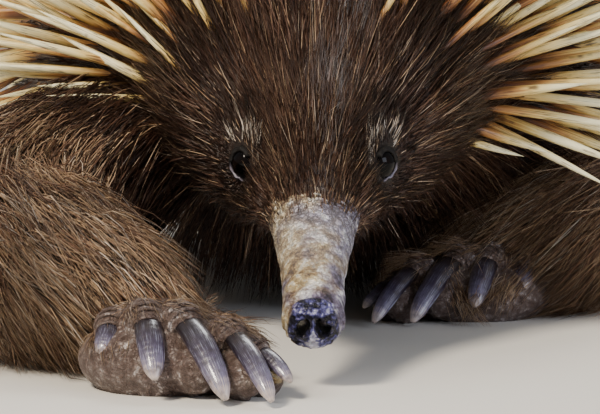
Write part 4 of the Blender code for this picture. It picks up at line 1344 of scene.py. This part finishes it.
@dataclass
class Coat:
    """The hair of one node or more, gathered zone by zone and made one piece."""

    name: str
    zones: tuple[Zone, ...]
    seed: int
    joints: int = 4
    depth: float = 1.2
    clump_size: int = 11
    floor: float = 0.35

    def paths(self, zone: Zone, roots: Roots, draw: np.random.Generator) -> np.ndarray:
        """The line of each hair from its root to its tip.

        Args:
            zone: the stretch of coat.
            roots: where the hairs are rooted.
            draw: the random numbers.

        Returns:
            The points by hair and joint.
        """
        count = len(roots.s)
        share = np.clip((roots.s / MM - zone.start) / (zone.end - zone.start), 0.0, 1.0)
        length = zone.length[0] + (zone.length[1] - zone.length[0]) * share
        length = length * draw.uniform(0.72, 1.2, count) * MM
        near_eye = smooth(5.0 * MM, 17.0 * MM, eye_distance(roots.points))
        length = length * (0.2 + 0.8 * near_eye)
        if zone.loft == "trunk":
            length = length * (0.3 + 0.7 * smooth(-6.0, 10.0, roots.s / MM - fur_line(roots.angle)))
        lift = zone.lift[0] + (zone.lift[1] - zone.lift[0]) * share + draw.normal(0, 0.12, count)
        lift = lift * (0.5 + 0.5 * near_eye)
        sweep = zone.sweep + draw.normal(0, 0.14, count)
        flat = roots.along * np.cos(sweep)[:, None] + roots.around * np.sin(sweep)[:, None]
        # Hair parts round the eye.
        parted = smooth(11.0 * MM, 5.0 * MM, eye_distance(roots.points))[:, None]
        flat = unit(flat + unit(from_eye(roots.points)) * 0.9 * parted)
        lean = flat * np.cos(lift)[:, None] + roots.out * np.sin(lift)[:, None]
        bend = draw.normal(0, 0.10, (count, 3))
        t = np.linspace(0.0, 1.0, self.joints)
        reach = length[:, None, None] * t[None, :, None]
        settle_back = (flat - roots.out * 0.35)[:, None, :] * reach * (t * 0.28)[None, :, None]
        rising = lean[:, None, :] * reach * (1.0 - 0.22 * t)[None, :, None]
        path = roots.points[:, None, :] + rising + settle_back
        path = path + bend[:, None, :] * reach * t[None, :, None]
        path[..., 2] -= zone.fall * MM * (length / (max(zone.length) * MM))[:, None] * (t**2)[None, :]
        return self.gather(path, draw)

    def gather(self, path: np.ndarray, draw: np.random.Generator) -> np.ndarray:
        """Draws the tips of neighbouring hairs together into tufts."""
        count = len(path)
        leaders = draw.choice(count, max(1, count // self.clump_size), replace=False)
        tree = KDTree(len(leaders))
        for number, leader in enumerate(leaders):
            tree.insert(path[leader, 0], number)
        tree.balance()
        near = np.array([leaders[tree.find(root)[1]] for root in path[:, 0]])
        t = np.linspace(0.0, 1.0, path.shape[1])[None, :, None]
        offset = path[:, :1] - path[near, :1]
        led = path[near] + offset * (1.0 - 0.72 * t)
        pull = draw.uniform(0.25, 0.85, count)[:, None, None] * t
        path = path * (1.0 - pull) + led * pull
        path[..., 2] = np.maximum(path[..., 2], self.floor * MM)
        self.near = near
        return path

    def strands(self, path: np.ndarray, girth: np.ndarray, out: np.ndarray) -> tuple[np.ndarray, np.ndarray]:
        """Tapered three-sided strands along the paths, closed at the root and pointed at the tip.

        Args:
            path: the points by strand and joint.
            girth: the half thickness of each, in metres.
            out: the direction out of the skin at each root.

        Returns:
            The corners by strand and the triangles of all.
        """
        count, joints = path.shape[:2]
        ahead = unit(np.gradient(path, axis=1))
        side = unit(np.cross(ahead, out[:, None, :]) + 1e-6)
        up = np.cross(side, ahead)
        taper = 1.0 - np.linspace(0.0, 1.0, joints)[:-1] ** 2 * 0.6
        rings = []
        for turn in (0.5, 2.6, 4.7):
            spoke = side[:, :-1] * math.cos(turn) + up[:, :-1] * math.sin(turn)
            rings.append(path[:, :-1] + spoke * girth[:, None, None] * taper[None, :, None])
        corners = np.stack(rings, axis=2).reshape(count, -1, 3)
        corners = np.concatenate([corners, path[:, -1:]], axis=1)
        per = corners.shape[1]
        side_number = np.arange(3)
        after = (side_number + 1) % 3
        base = (np.arange(joints - 2) * 3)[:, None]
        walls = between(base + side_number, base + 3 + side_number, base + after, base + 3 + after)
        last = (joints - 2) * 3
        tip = np.stack([last + side_number, np.full(3, per - 1), last + after], axis=-1)
        one = np.concatenate([walls, tip, [[0, 1, 2]]])
        if volume(corners[0], one) < 0:
            one = one[:, ::-1]
        triangles = one[None] + (np.arange(count) * per)[:, None, None]
        return corners, triangles.reshape(-1, 3)

    def build(self, ground: Ground) -> bpy.types.Object:
        """Grows all zones into one piece.

        Args:
            ground: the skin that it grows on.

        Returns:
            The coat's object.
        """
        draw = np.random.default_rng(self.seed)
        parts, tints, alongs, spots = [], [], [], []
        for zone in (side for zone in self.zones for side in zone.sides()):
            roots = Roots.sow(zone, ground, draw, self.depth)
            path = self.paths(zone, roots, draw)
            count = len(path)
            girth = zone.girth * MM * draw.uniform(0.7, 1.25, count)
            corners, triangles = self.strands(path, girth, roots.out)
            own, tuft = draw.uniform(*zone.tint, (2, count))
            away = eye_distance(roots.points)
            tint = (0.55 * own + 0.45 * tuft[self.near]) * (0.35 + 0.65 * smooth(5 * MM, 15 * MM, away))
            # Whitish hairs make a brow over each eye.
            brow = smooth(0.0, 0.12, np.sin(roots.angle) - math.sin(BUILD.eye_angle))
            brow *= smooth(4.0 * MM, 4.8 * MM, away) * smooth(9.0 * MM, 7.0 * MM, away)
            chance = np.maximum(zone.blond * smooth(4 * MM, 14 * MM, away), 0.42 * brow)
            pale = draw.uniform(size=count) < chance
            tint = np.where(pale, draw.uniform(0.72, 0.88, count) + 0.14 * brow, tint)
            per = corners.shape[1]
            rows = np.append(np.repeat(np.linspace(0, 1, self.joints)[:-1], 3), 1.0)
            parts.append((corners.reshape(-1, 3), triangles))
            tints.append(np.repeat(tint, per))
            alongs.append(np.tile(rows, count))
            patch = np.stack([np.append(np.tile([0.0, 0.5, 1.0], self.joints - 1), 0.5), rows], axis=-1)
            spots.append((roots.unwrap()[:, None] + patch[None] * BAKE_PATCH).reshape(-1, 2))
        points, triangles = join(parts)
        marks = {"along": np.concatenate(alongs), "tint": np.concatenate(tints)}
        coat = mesh_object(self.name, points, triangles, **marks)
        layer = coat.data.uv_layers.new(name=BAKE_MAP)
        layer.uv.foreach_set("vector", np.concatenate(spots)[triangles.ravel()].astype(np.float32).ravel())
        return coat


class Planting:
    """A node tree that sets a copy of one small form on every root and makes them one mesh.

    A root keeps lean, the way its form points, size, its scale, and root_uv, its place in the skin's unwrap.
    """

    name = "planting"
    sockets: tuple[tuple[str, str, object], ...] = ()

    def form(self, tree: bpy.types.NodeTree, given: bpy.types.Node) -> bpy.types.NodeSocket:
        """The form that is repeated, upright and one unit high.

        Args:
            tree: the node tree.
            given: the node that holds the tree's inputs.

        Returns:
            Its geometry.
        """
        raise NotImplementedError

    def tree(self) -> bpy.types.NodeTree:
        """Builds the whole tree."""
        made = bpy.data.node_groups.new(self.name, "GeometryNodeTree")
        made.interface.new_socket("Geometry", in_out="OUTPUT", socket_type="NodeSocketGeometry")
        made.interface.new_socket("Geometry", in_out="INPUT", socket_type="NodeSocketGeometry")
        for label, kind, _ in self.sockets:
            made.interface.new_socket(label, in_out="INPUT", socket_type=kind)
        made.interface.new_socket("Patch", in_out="INPUT", socket_type="NodeSocketFloat")
        made.interface.new_socket("Finish", in_out="INPUT", socket_type="NodeSocketMaterial")
        given = add(made, "NodeGroupInput")
        lean, size, root, corner = (
            add(made, "GeometryNodeInputNamedAttribute", {"Name": label}, data_type="FLOAT_VECTOR")
            for label in ("lean", "size", "root_uv", "corner")
        )
        aimed = add(made, "FunctionNodeAlignRotationToVector", {"Vector": lean}, axis="Z")
        spin = {"Max": (0.0, 0.0, TURN), "Seed": SEED}
        spin = add(made, "FunctionNodeRandomValue", spin, data_type="FLOAT_VECTOR")
        turned = add(made, "FunctionNodeRotateRotation", {0: aimed, 1: spin}, rotation_space="LOCAL")
        planted = add(made, "GeometryNodeInstanceOnPoints", {
            "Points": given.outputs["Geometry"], "Instance": self.form(made, given),
            "Rotation": turned if self.spun else aimed, "Scale": size,
        })
        whole = add(made, "GeometryNodeRealizeInstances", {0: planted})
        patch = add(made, "ShaderNodeVectorMath", {0: corner, 3: given.outputs["Patch"]}, operation="SCALE")
        spot = add(made, "ShaderNodeVectorMath", {0: root, 1: patch}, operation="ADD")
        mapped = add(made, "GeometryNodeStoreNamedAttribute", {
            "Geometry": whole, "Name": BAKE_MAP, "Value": spot,
        }, data_type="FLOAT2", domain="CORNER")
        soft = add(made, "GeometryNodeSetShadeSmooth", {0: mapped})
        dressed = add(made, "GeometryNodeSetMaterial", {0: soft, "Material": given.outputs["Finish"]})
        add(made, "NodeGroupOutput", {0: dressed})
        return made

    spun = True

    def plant(self, name: str, finish: Finish, points: np.ndarray, **values: np.ndarray) -> bpy.types.Object:
        """Sets the forms on their roots.

        Args:
            name: the piece's name.
            finish: what the forms are made of.
            points: the roots.
            values: what each root keeps, by name.

        Returns:
            The piece.
        """
        mesh = bpy.data.meshes.new(name)
        mesh.vertices.add(len(points))
        mesh.vertices.foreach_set("co", points.astype(np.float32).ravel())
        for key, value in values.items():
            kind, slot = ("FLOAT_VECTOR", "vector") if value.ndim == 2 else ("FLOAT", "value")
            layer = mesh.attributes.new(key, kind, "POINT")
            layer.data.foreach_set(slot, value.astype(np.float32).ravel())
        piece = bpy.data.objects.new(name, mesh)
        bpy.context.scene.collection.objects.link(piece)
        modifier = piece.modifiers.new(self.name, "NODES")
        modifier.node_group = self.tree()
        given = {label: value for label, _, value in self.sockets}
        given |= {"Patch": BAKE_PATCH, "Finish": material_of(finish)}
        for item in modifier.node_group.interface.items_tree:
            if item.in_out == "INPUT" and item.name in given:
                modifier[item.identifier] = given[item.name]
        return settle(piece)


class SpineForm(Planting):
    """A spine: stout from its root on, slightly bowed, drawn out to a sharp point."""

    name = "spines"
    sockets = (("Sides", "NodeSocketInt", 7), ("Rings", "NodeSocketInt", 8), ("Bow", "NodeSocketFloat", 0.9))
    # Thickness along the spine, from the root to the tip.
    profile = ((0.0, 0.72), (0.12, 0.95), (0.35, 1.0), (0.6, 0.86), (0.82, 0.52), (0.94, 0.22), (1.0, 0.03))

    def form(self, tree: bpy.types.NodeTree, given: bpy.types.Node) -> bpy.types.NodeSocket:
        """The spine's shape, one unit thick and one high."""
        rod = add(tree, "GeometryNodeMeshCylinder", {
            "Vertices": given.outputs["Sides"], "Side Segments": given.outputs["Rings"], "Depth": 1.0,
        }, fill_type="TRIANGLE_FAN")
        place = add(tree, "GeometryNodeInputPosition")
        parts = add(tree, "ShaderNodeSeparateXYZ", {0: place})
        along = add(tree, "ShaderNodeMath", {0: parts.outputs["Z"], 1: 0.5}, operation="ADD")
        thick = add(tree, "ShaderNodeFloatCurve", {"Value": along})
        points = thick.mapping.curves[0].points
        for number, (spot, height) in enumerate(self.profile):
            point = points[number] if number < 2 else points.new(spot, height)
            point.location = (spot, height)
        thick.mapping.update()
        across = add(tree, "ShaderNodeMath", {0: parts.outputs["X"], 1: thick}, operation="MULTIPLY")
        bend = add(tree, "ShaderNodeMath", {0: along, 1: along}, operation="MULTIPLY")
        bend = add(tree, "ShaderNodeMath", {0: bend, 1: given.outputs["Bow"]}, operation="MULTIPLY")
        across = add(tree, "ShaderNodeMath", {0: across, 1: bend}, operation="ADD")
        deep = add(tree, "ShaderNodeMath", {0: parts.outputs["Y"], 1: thick}, operation="MULTIPLY")
        shaped = add(tree, "ShaderNodeCombineXYZ", {"X": across, "Y": deep, "Z": along})
        marked = add(tree, "GeometryNodeStoreNamedAttribute", {
            "Geometry": rod.outputs["Mesh"], "Name": "along", "Value": along,
        }, data_type="FLOAT", domain="POINT")
        marked = add(tree, "GeometryNodeStoreNamedAttribute", {
            "Geometry": marked, "Name": "around", "Value": parts.outputs["X"],
        }, data_type="FLOAT", domain="POINT")
        half = add(tree, "ShaderNodeMath", {0: parts.outputs["X"], 1: 0.5, 2: 0.5}, operation="MULTIPLY_ADD")
        corner = add(tree, "ShaderNodeCombineXYZ", {"X": half, "Y": along})
        marked = add(tree, "GeometryNodeStoreNamedAttribute", {
            "Geometry": marked, "Name": "corner", "Value": corner,
        }, data_type="FLOAT_VECTOR", domain="POINT")
        return add(tree, "GeometryNodeSetPosition", {"Geometry": marked, "Position": shaped}).outputs[0]


class FoldForm(Planting):
    """A fold of skin that runs round a toe: a slack ring."""

    name = "folds"
    spun = False
    sockets = (("Segments", "NodeSocketInt", 22), ("Thickness", "NodeSocketFloat", 0.10))

    def form(self, tree: bpy.types.NodeTree, given: bpy.types.Node) -> bpy.types.NodeSocket:
        """The ring, lying flat, with a radius of one."""
        ring = add(tree, "GeometryNodeCurvePrimitiveCircle", {"Resolution": given.outputs["Segments"]})
        section = {"Resolution": 7, "Radius": given.outputs["Thickness"]}
        section = add(tree, "GeometryNodeCurvePrimitiveCircle", section)
        body = add(tree, "GeometryNodeCurveToMesh", {
            "Curve": ring.outputs["Curve"], "Profile Curve": section.outputs["Curve"],
        })
        noise = add(tree, "ShaderNodeTexNoise", {"Scale": 2.2, "Detail": 2.0})
        slack = {0: noise.outputs["Color"], 1: (0.5, 0.5, 0.5)}
        slack = add(tree, "ShaderNodeVectorMath", slack, operation="SUBTRACT")
        slack = add(tree, "ShaderNodeVectorMath", {0: slack, 3: 0.14}, operation="SCALE")
        moved = add(tree, "GeometryNodeSetPosition", {"Geometry": body, "Offset": slack})
        marked = add(tree, "GeometryNodeStoreNamedAttribute", {
            "Geometry": moved, "Name": "corner", "Value": add(tree, "GeometryNodeInputPosition"),
        }, data_type="FLOAT_VECTOR", domain="POINT")
        return add(tree, "GeometryNodeStoreNamedAttribute", {
            "Geometry": marked, "Name": "paw", "Value": 1.0,
        }, data_type="FLOAT", domain="POINT").outputs[0]


@dataclass(frozen=True)
class SpineField:
    """A stretch of spines on the trunk. Lengths are in mm, angles in degrees."""

    name: str
    start: float
    end: float
    low: float
    high: float
    spacing: float
    length: tuple[float, float]
    lift: tuple[float, float]
    girth: float
    upturn: float = 0.0
    replaced: tuple[str, ...] = ()

    def build(self, ground: Ground, seed: int) -> None:
        """Plants the spines evenly, leaning back and outwards.

        Args:
            ground: the skin.
            seed: what its random numbers start from.
        """
        draw = np.random.default_rng(seed)
        area = (self.end - self.start) * math.radians(self.high - self.low) * 60
        tries = int(area / self.spacing**2 * 3)
        zone = Zone("trunk", self.start, self.end, self.low, self.high, tries, (1, 1), (0, 0))
        roots = Roots.sow(zone, ground, draw, 2.0)
        kept: list[int] = []
        spots = roots.points
        for number in range(len(spots)):
            if not kept or np.linalg.norm(spots[kept] - spots[number], axis=1).min() > self.spacing * MM:
                kept.append(number)
        s, angle = roots.s[kept], roots.angle[kept]
        back = np.clip((s / MM - self.start) / (self.end - self.start), 0, 1)
        count = len(kept)
        length = self.length[0] + (self.length[1] - self.length[0]) * back + 9 * np.sin(math.pi * back)
        length = (length + 5 * np.maximum(np.sin(angle), 0)) * draw.uniform(0.72, 1.12, count)
        lift = np.radians(self.lift[0] + (self.lift[1] - self.lift[0]) * back + draw.normal(0, 8, count))
        sweep = -0.3 * np.cos(angle) + draw.normal(0, 0.16, count)
        flat = roots.along[kept] * np.cos(sweep)[:, None] + roots.around[kept] * np.sin(sweep)[:, None]
        lean = flat * np.cos(lift)[:, None] + roots.out[kept] * np.sin(lift)[:, None]
        lean[:, 2] += self.upturn * smooth(-0.75, 0.1, np.sin(angle))
        lean = unit(lean)
        girth = self.girth * draw.uniform(0.8, 1.15, count)
        size = np.stack([girth, girth, length], axis=-1) * MM
        spot = np.concatenate([roots.unwrap()[kept], np.zeros((count, 1))], axis=1)
        values = {"lean": lean, "size": size, "root_uv": spot, "tint": draw.uniform(size=count)}
        piece = SpineForm().plant(self.name, Finish.SPINE, spots[kept], **values)
        finish_piece(piece, Finish.SPINE, *self.replaced)
        log.info("%s: %d spines", self.name, count)


SPINES = (
    SpineField("spines_back", 146, 262, -18, 198, 6.2, (40, 44), (54, 40), 1.8),
    SpineField("spines_rump", 262, 372, -14, 194, 6.3, (44, 38), (40, 26), 1.8),
    SpineField("spines_ruff_left", 98, 146, -22, 54, 4.2, (35, 44), (60, 56), 1.3, 0.42),
    SpineField("spines_ruff_right", 98, 146, 126, 202, 4.2, (35, 44), (60, 56), 1.3, 0.42),
    SpineField("spines_crown_left", 86, 106, 16, 66, 5.4, (32, 40), (38, 46), 0.85, 0.35),
    SpineField("spines_crown_right", 86, 106, 114, 164, 5.4, (32, 40), (38, 46), 0.85, 0.35),
    SpineField("spines_nape", 104, 146, 54, 126, 7.5, (26, 38), (40, 54), 1.1),
    SpineField("spines_tail", 372, 388, 0, 360, 4.6, (24, 22), (24, 16), 1.5),
)


def hair(loft: str, *place: float, **values: object) -> Zone:
    """A zone of coat by its loft and its place: start, end, low and high angle, and count."""
    return Zone(loft, *place, **values)


BRIDGE_COAT = (
    hair(
        "trunk", 28, 64, 14, 166, 8500,
        length=(6, 19), lift=(0.16, 0.28), girth=0.10, tint=(0.1, 0.7), blond=0.1,
    ),
)
CROWN_COAT = (
    hair(
        "trunk", 58, 104, 50, 130, 6600,
        length=(20, 37), lift=(0.22, 0.46), girth=0.10, tint=(0.1, 0.65), blond=0.08,
    ),
    hair(
        "trunk", 58, 104, 16, 52, 2900,
        length=(20, 35), lift=(0.24, 0.5), girth=0.11, tint=(0.0, 0.42), blond=0.05, mirrored=True,
    ),
)
CHEEK_COAT = (
    hair(
        "trunk", 36, 104, -38, 22, 4600,
        length=(9, 27), lift=(0.5, 0.7), girth=0.12, tint=(0.05, 0.7), blond=0.12, mirrored=True,
    ),
    hair(
        "trunk", 48, 104, -142, -38, 2800,
        length=(9, 26), lift=(0.3, 0.45), fall=9.0, girth=0.15, tint=(0.2, 0.6),
    ),
)
NECK_COAT = (
    hair(
        "trunk", 100, 146, -30, 210, 8300,
        length=(30, 32), lift=(0.5, 0.55), girth=0.16, tint=(0.0, 0.45), blond=0.06,
    ),
    hair(
        "trunk", 100, 146, -150, -30, 3400,
        length=(30, 36), lift=(0.4, 0.45), fall=17.0, girth=0.17, tint=(0.2, 0.65),
    ),
)
BACK_COAT = (
    hair("trunk", 146, 372, -12, 192, 8500, length=(24, 22), lift=(0.42, 0.3), girth=0.22, tint=(0.0, 0.45)),
)
FLANK_COAT = (
    hair(
        "trunk", 142, 340, -62, -12, 3600,
        length=(30, 24), lift=(0.35, 0.25), fall=8.0, sweep=0.25, tint=(0.1, 0.75), mirrored=True,
    ),
    hair("trunk", 142, 360, -118, -62, 4000, length=(26, 16), lift=(0.3, 0.25), fall=10.0, tint=(0.1, 0.5)),
)
TAIL_COAT = (
    hair("trunk", 366, 391, 0, 360, 900, length=(14, 8), lift=(0.3, 0.2), girth=0.18, tint=(0.0, 0.6)),
)


def leg_coat(leg: str, paw: str, count: int, on_paw: int, size: float) -> tuple[Zone, ...]:
    """The long hair of a leg, shorter towards the paw, and the fringe over the paw.

    Args:
        leg: the leg.
        paw: its paw.
        count: how many hairs the leg has.
        on_paw: how many hang over the paw.
        size: their length against a forepaw's.

    Returns:
        The zones.
    """
    end = LEGS[leg].length / MM
    upper, lower, over = (34 * size, 28 * size), (26 * size, 20 * size), (17 * size, 12 * size)
    toes = [
        hair(
            f"{paw}_toe_{number}", 0, 5.5, 20, 160, round(on_paw / 14),
            length=over, lift=(0.3, 0.2), fall=1.5, girth=0.09, tint=(0.4, 0.95), blond=0.45,
        )
        for number in range(5)
    ]
    return (
        # Near the body the hair gets darker tints, partly its own colour and partly painted shade where the
        # leg meets the body.
        hair(
            leg, 8, end * 0.32, 0, 360, round(count * 0.22),
            length=upper, lift=(0.34, 0.36), fall=10.0, girth=0.15, tint=(0.0, 0.5), blond=0.08,
        ),
        hair(
            leg, end * 0.28, end * 0.7, 0, 360, round(count * 0.38),
            length=upper, lift=(0.36, 0.4), fall=10.0, girth=0.15, tint=(0.25, 0.9), blond=0.18,
        ),
        hair(
            leg, end * 0.6, end, 0, 360, round(count * 0.4),
            length=lower, lift=(0.42, 0.34), fall=7.0, girth=0.13, tint=(0.35, 1.0), blond=0.32,
        ),
        hair(
            paw, 2, 30 * size, 30, 150, on_paw,
            length=over, lift=(0.3, 0.2), fall=5.0, girth=0.10, tint=(0.4, 0.95), blond=0.5,
        ),
        *toes,
    )


COATS = (
    Coat("coat_bridge", BRIDGE_COAT, 10, joints=3),
    Coat("coat_crown", CROWN_COAT, 11),
    Coat("coat_cheeks", CHEEK_COAT, 20),
    Coat("coat_neck", NECK_COAT, 12),
    Coat("coat_back", BACK_COAT, 13),
    Coat("coat_flanks", FLANK_COAT, 14),
    Coat("coat_tail", TAIL_COAT, 15),
    Coat("coat_foreleg_right", leg_coat("foreleg_right", "forefoot_right", 10300, 1500, 1.0), 16),
    Coat("coat_foreleg_left", leg_coat("foreleg_left", "forefoot_left", 10000, 1500, 1.25), 17),
    Coat("coat_hindleg_right", leg_coat("hindleg_right", "hindfoot_right", 5600, 600, 0.8), 18),
    Coat("coat_hindleg_left", leg_coat("hindleg_left", "hindfoot_left", 5600, 600, 0.8), 19),
)

FLESH = (
    "beak", "head", "ear_left", "ear_right", "neck", "torso", "tail", "foreleg_left", "foreleg_right",
    "hindleg_left", "hindleg_right", "forefoot_left", "forefoot_right", "hindfoot_left", "hindfoot_right",
)


@dataclass
class Echidna:
    """The whole animal: its skin, eyes, claws, spines and coat."""

    folds_per_toe: int = 6
    fold_step: float = 1.15

    def folds(self) -> None:
        """The folds of skin behind each claw."""
        spots, leans, sizes, maps = [], [], [], []
        for paw in PAWS:
            for claw in paw.claws:
                toe = paw.toe_loft(claw)
                for number in range(self.folds_per_toe):
                    s = np.array([toe.length - (0.6 + number * self.fold_step) * MM])
                    centre, side, up, along = (part[0] for part in toe.frames(s))
                    row = toe.rows_at(s)[0]
                    spots.append(centre)
                    leans.append(along)
                    maps.append((*TILES[paw.name].spot(s[0] / toe.length, 0.0), 0.0))
                    half = (row[3] + row[4]) / 2 - 0.05 * MM
                    sizes.append((half, half, half * 1.4))
        kept = {"lean": np.array(leans), "size": np.array(sizes), "root_uv": np.array(maps)}
        piece = FoldForm().plant("toe_folds", Finish.SKIN, np.array(spots), **kept)
        finish_piece(piece, Finish.SKIN)

    def build(self) -> None:
        """Makes every piece, the skin first because the coat grows on it."""
        skin = Skin().build()
        finish_piece(skin, Finish.SKIN, *FLESH)
        ground = Ground(skin)
        for right in (False, True):
            Eye(right).build()
        for paw in PAWS:
            paw.build()
        self.folds()
        for number, patch in enumerate(SPINES):
            patch.build(ground, SEED + number)
        for coat in COATS:
            finish_piece(coat.build(ground), Finish.HAIR)


@dataclass
class Studio:
    """A pale floor, soft light and the camera of the photograph, whose middle is near the nose."""

    target: tuple[float, float] = (-0.0039, 0.0405)
    distance: float = 0.6
    azimuth: float = math.radians(-0.3)
    elevation: float = math.radians(5.2)
    lens: float = 166.2
    sensor: float = 36.0
    floor_colour: str = "ece8e0"
    world_colour: str = "e8ebef"
    world_strength: float = 0.35

    def camera(self) -> None:
        """The camera: level with the head, a little above the ground."""
        nose_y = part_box("beak")[0][1]
        ahead = Vector((
            math.sin(self.azimuth) * math.cos(self.elevation),
            math.cos(self.azimuth) * math.cos(self.elevation),
            -math.sin(self.elevation),
        ))
        data = bpy.data.cameras.new("camera")
        data.lens, data.sensor_width = self.lens, self.sensor
        data.clip_start, data.clip_end = 0.02, 20.0
        camera = bpy.data.objects.new("camera", data)
        camera.location = Vector((self.target[0], nose_y, self.target[1])) - ahead * self.distance
        camera.rotation_euler = ahead.to_track_quat("-Z", "Y").to_euler()
        bpy.context.scene.collection.objects.link(camera)
        bpy.context.scene.camera = camera

    @staticmethod
    def light(name: str, place: tuple, aim: tuple, size: float, power: float, colour: str) -> None:
        """A soft square light.

        Args:
            name: its name.
            place: where it stands, in metres.
            aim: what it points at.
            size: the side of its square.
            power: its power in watts.
            colour: its colour.
        """
        data = bpy.data.lights.new(name, "AREA")
        data.size, data.energy, data.color = size, power, linear(colour)[:3]
        lamp = bpy.data.objects.new(name, data)
        lamp.location = place
        lamp.rotation_euler = (Vector(aim) - Vector(place)).to_track_quat("-Z", "Y").to_euler()
        bpy.context.scene.collection.objects.link(lamp)

    def floor(self) -> None:
        """The floor: a wide flat plane."""
        points = np.array([(-4.0, -4.0, 0.0), (4.0, -4.0, 0.0), (4.0, 4.0, 0.0), (-4.0, 4.0, 0.0)])
        floor = mesh_object("floor", points, np.array([(0, 1, 2), (0, 2, 3)]))
        made, tree, shader = empty_material("painted_floor")
        place = add(tree, "ShaderNodeTexCoord").outputs["Object"]
        grain = add(tree, "ShaderNodeTexNoise", {"Vector": place, "Scale": 90.0, "Detail": 4.0})
        bump = add(tree, "ShaderNodeBump", {"Height": grain, "Strength": 0.15, "Distance": 0.0005})
        tree.links.new(bump.outputs[0], shader.inputs["Normal"])
        shader.inputs["Base Color"].default_value = linear(self.floor_colour)
        shader.inputs["Roughness"].default_value = 0.8
        floor.data.materials.append(made)
        floor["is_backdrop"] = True

    def build(self) -> None:
        """Sets up floor, light and camera."""
        self.floor()
        self.camera()
        world = bpy.data.worlds.new("studio")
        world.use_nodes = True
        sky = world.node_tree.nodes["Background"]
        sky.inputs["Color"].default_value = linear(self.world_colour)
        sky.inputs["Strength"].default_value = self.world_strength
        bpy.context.scene.world = world
        self.light("key", (-0.6, -0.85, 1.0), (0.0, -0.1, 0.06), 0.28, 21.5, "fff2de")
        self.light("fill", (0.9, -1.0, 0.5), (0.0, -0.1, 0.06), 0.6, 6.5, "e4ecff")
        self.light("rim", (0.3, 0.7, 1.3), (0.0, 0.0, 0.1), 0.5, 8.0, "ffffff")


def main() -> None:
    """Builds the studio and the animal and measures the box before and after."""
    logging.basicConfig(level=logging.INFO, format="%(message)s")
    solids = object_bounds()
    Studio().build()
    Echidna().build()
    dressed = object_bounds()
    boxes = {"cad": solids, "visual": dressed}
    boxes = {key: [list(map(float, corner)) for corner in box] for key, box in boxes.items()}


if __name__ == "__main__":
    main()
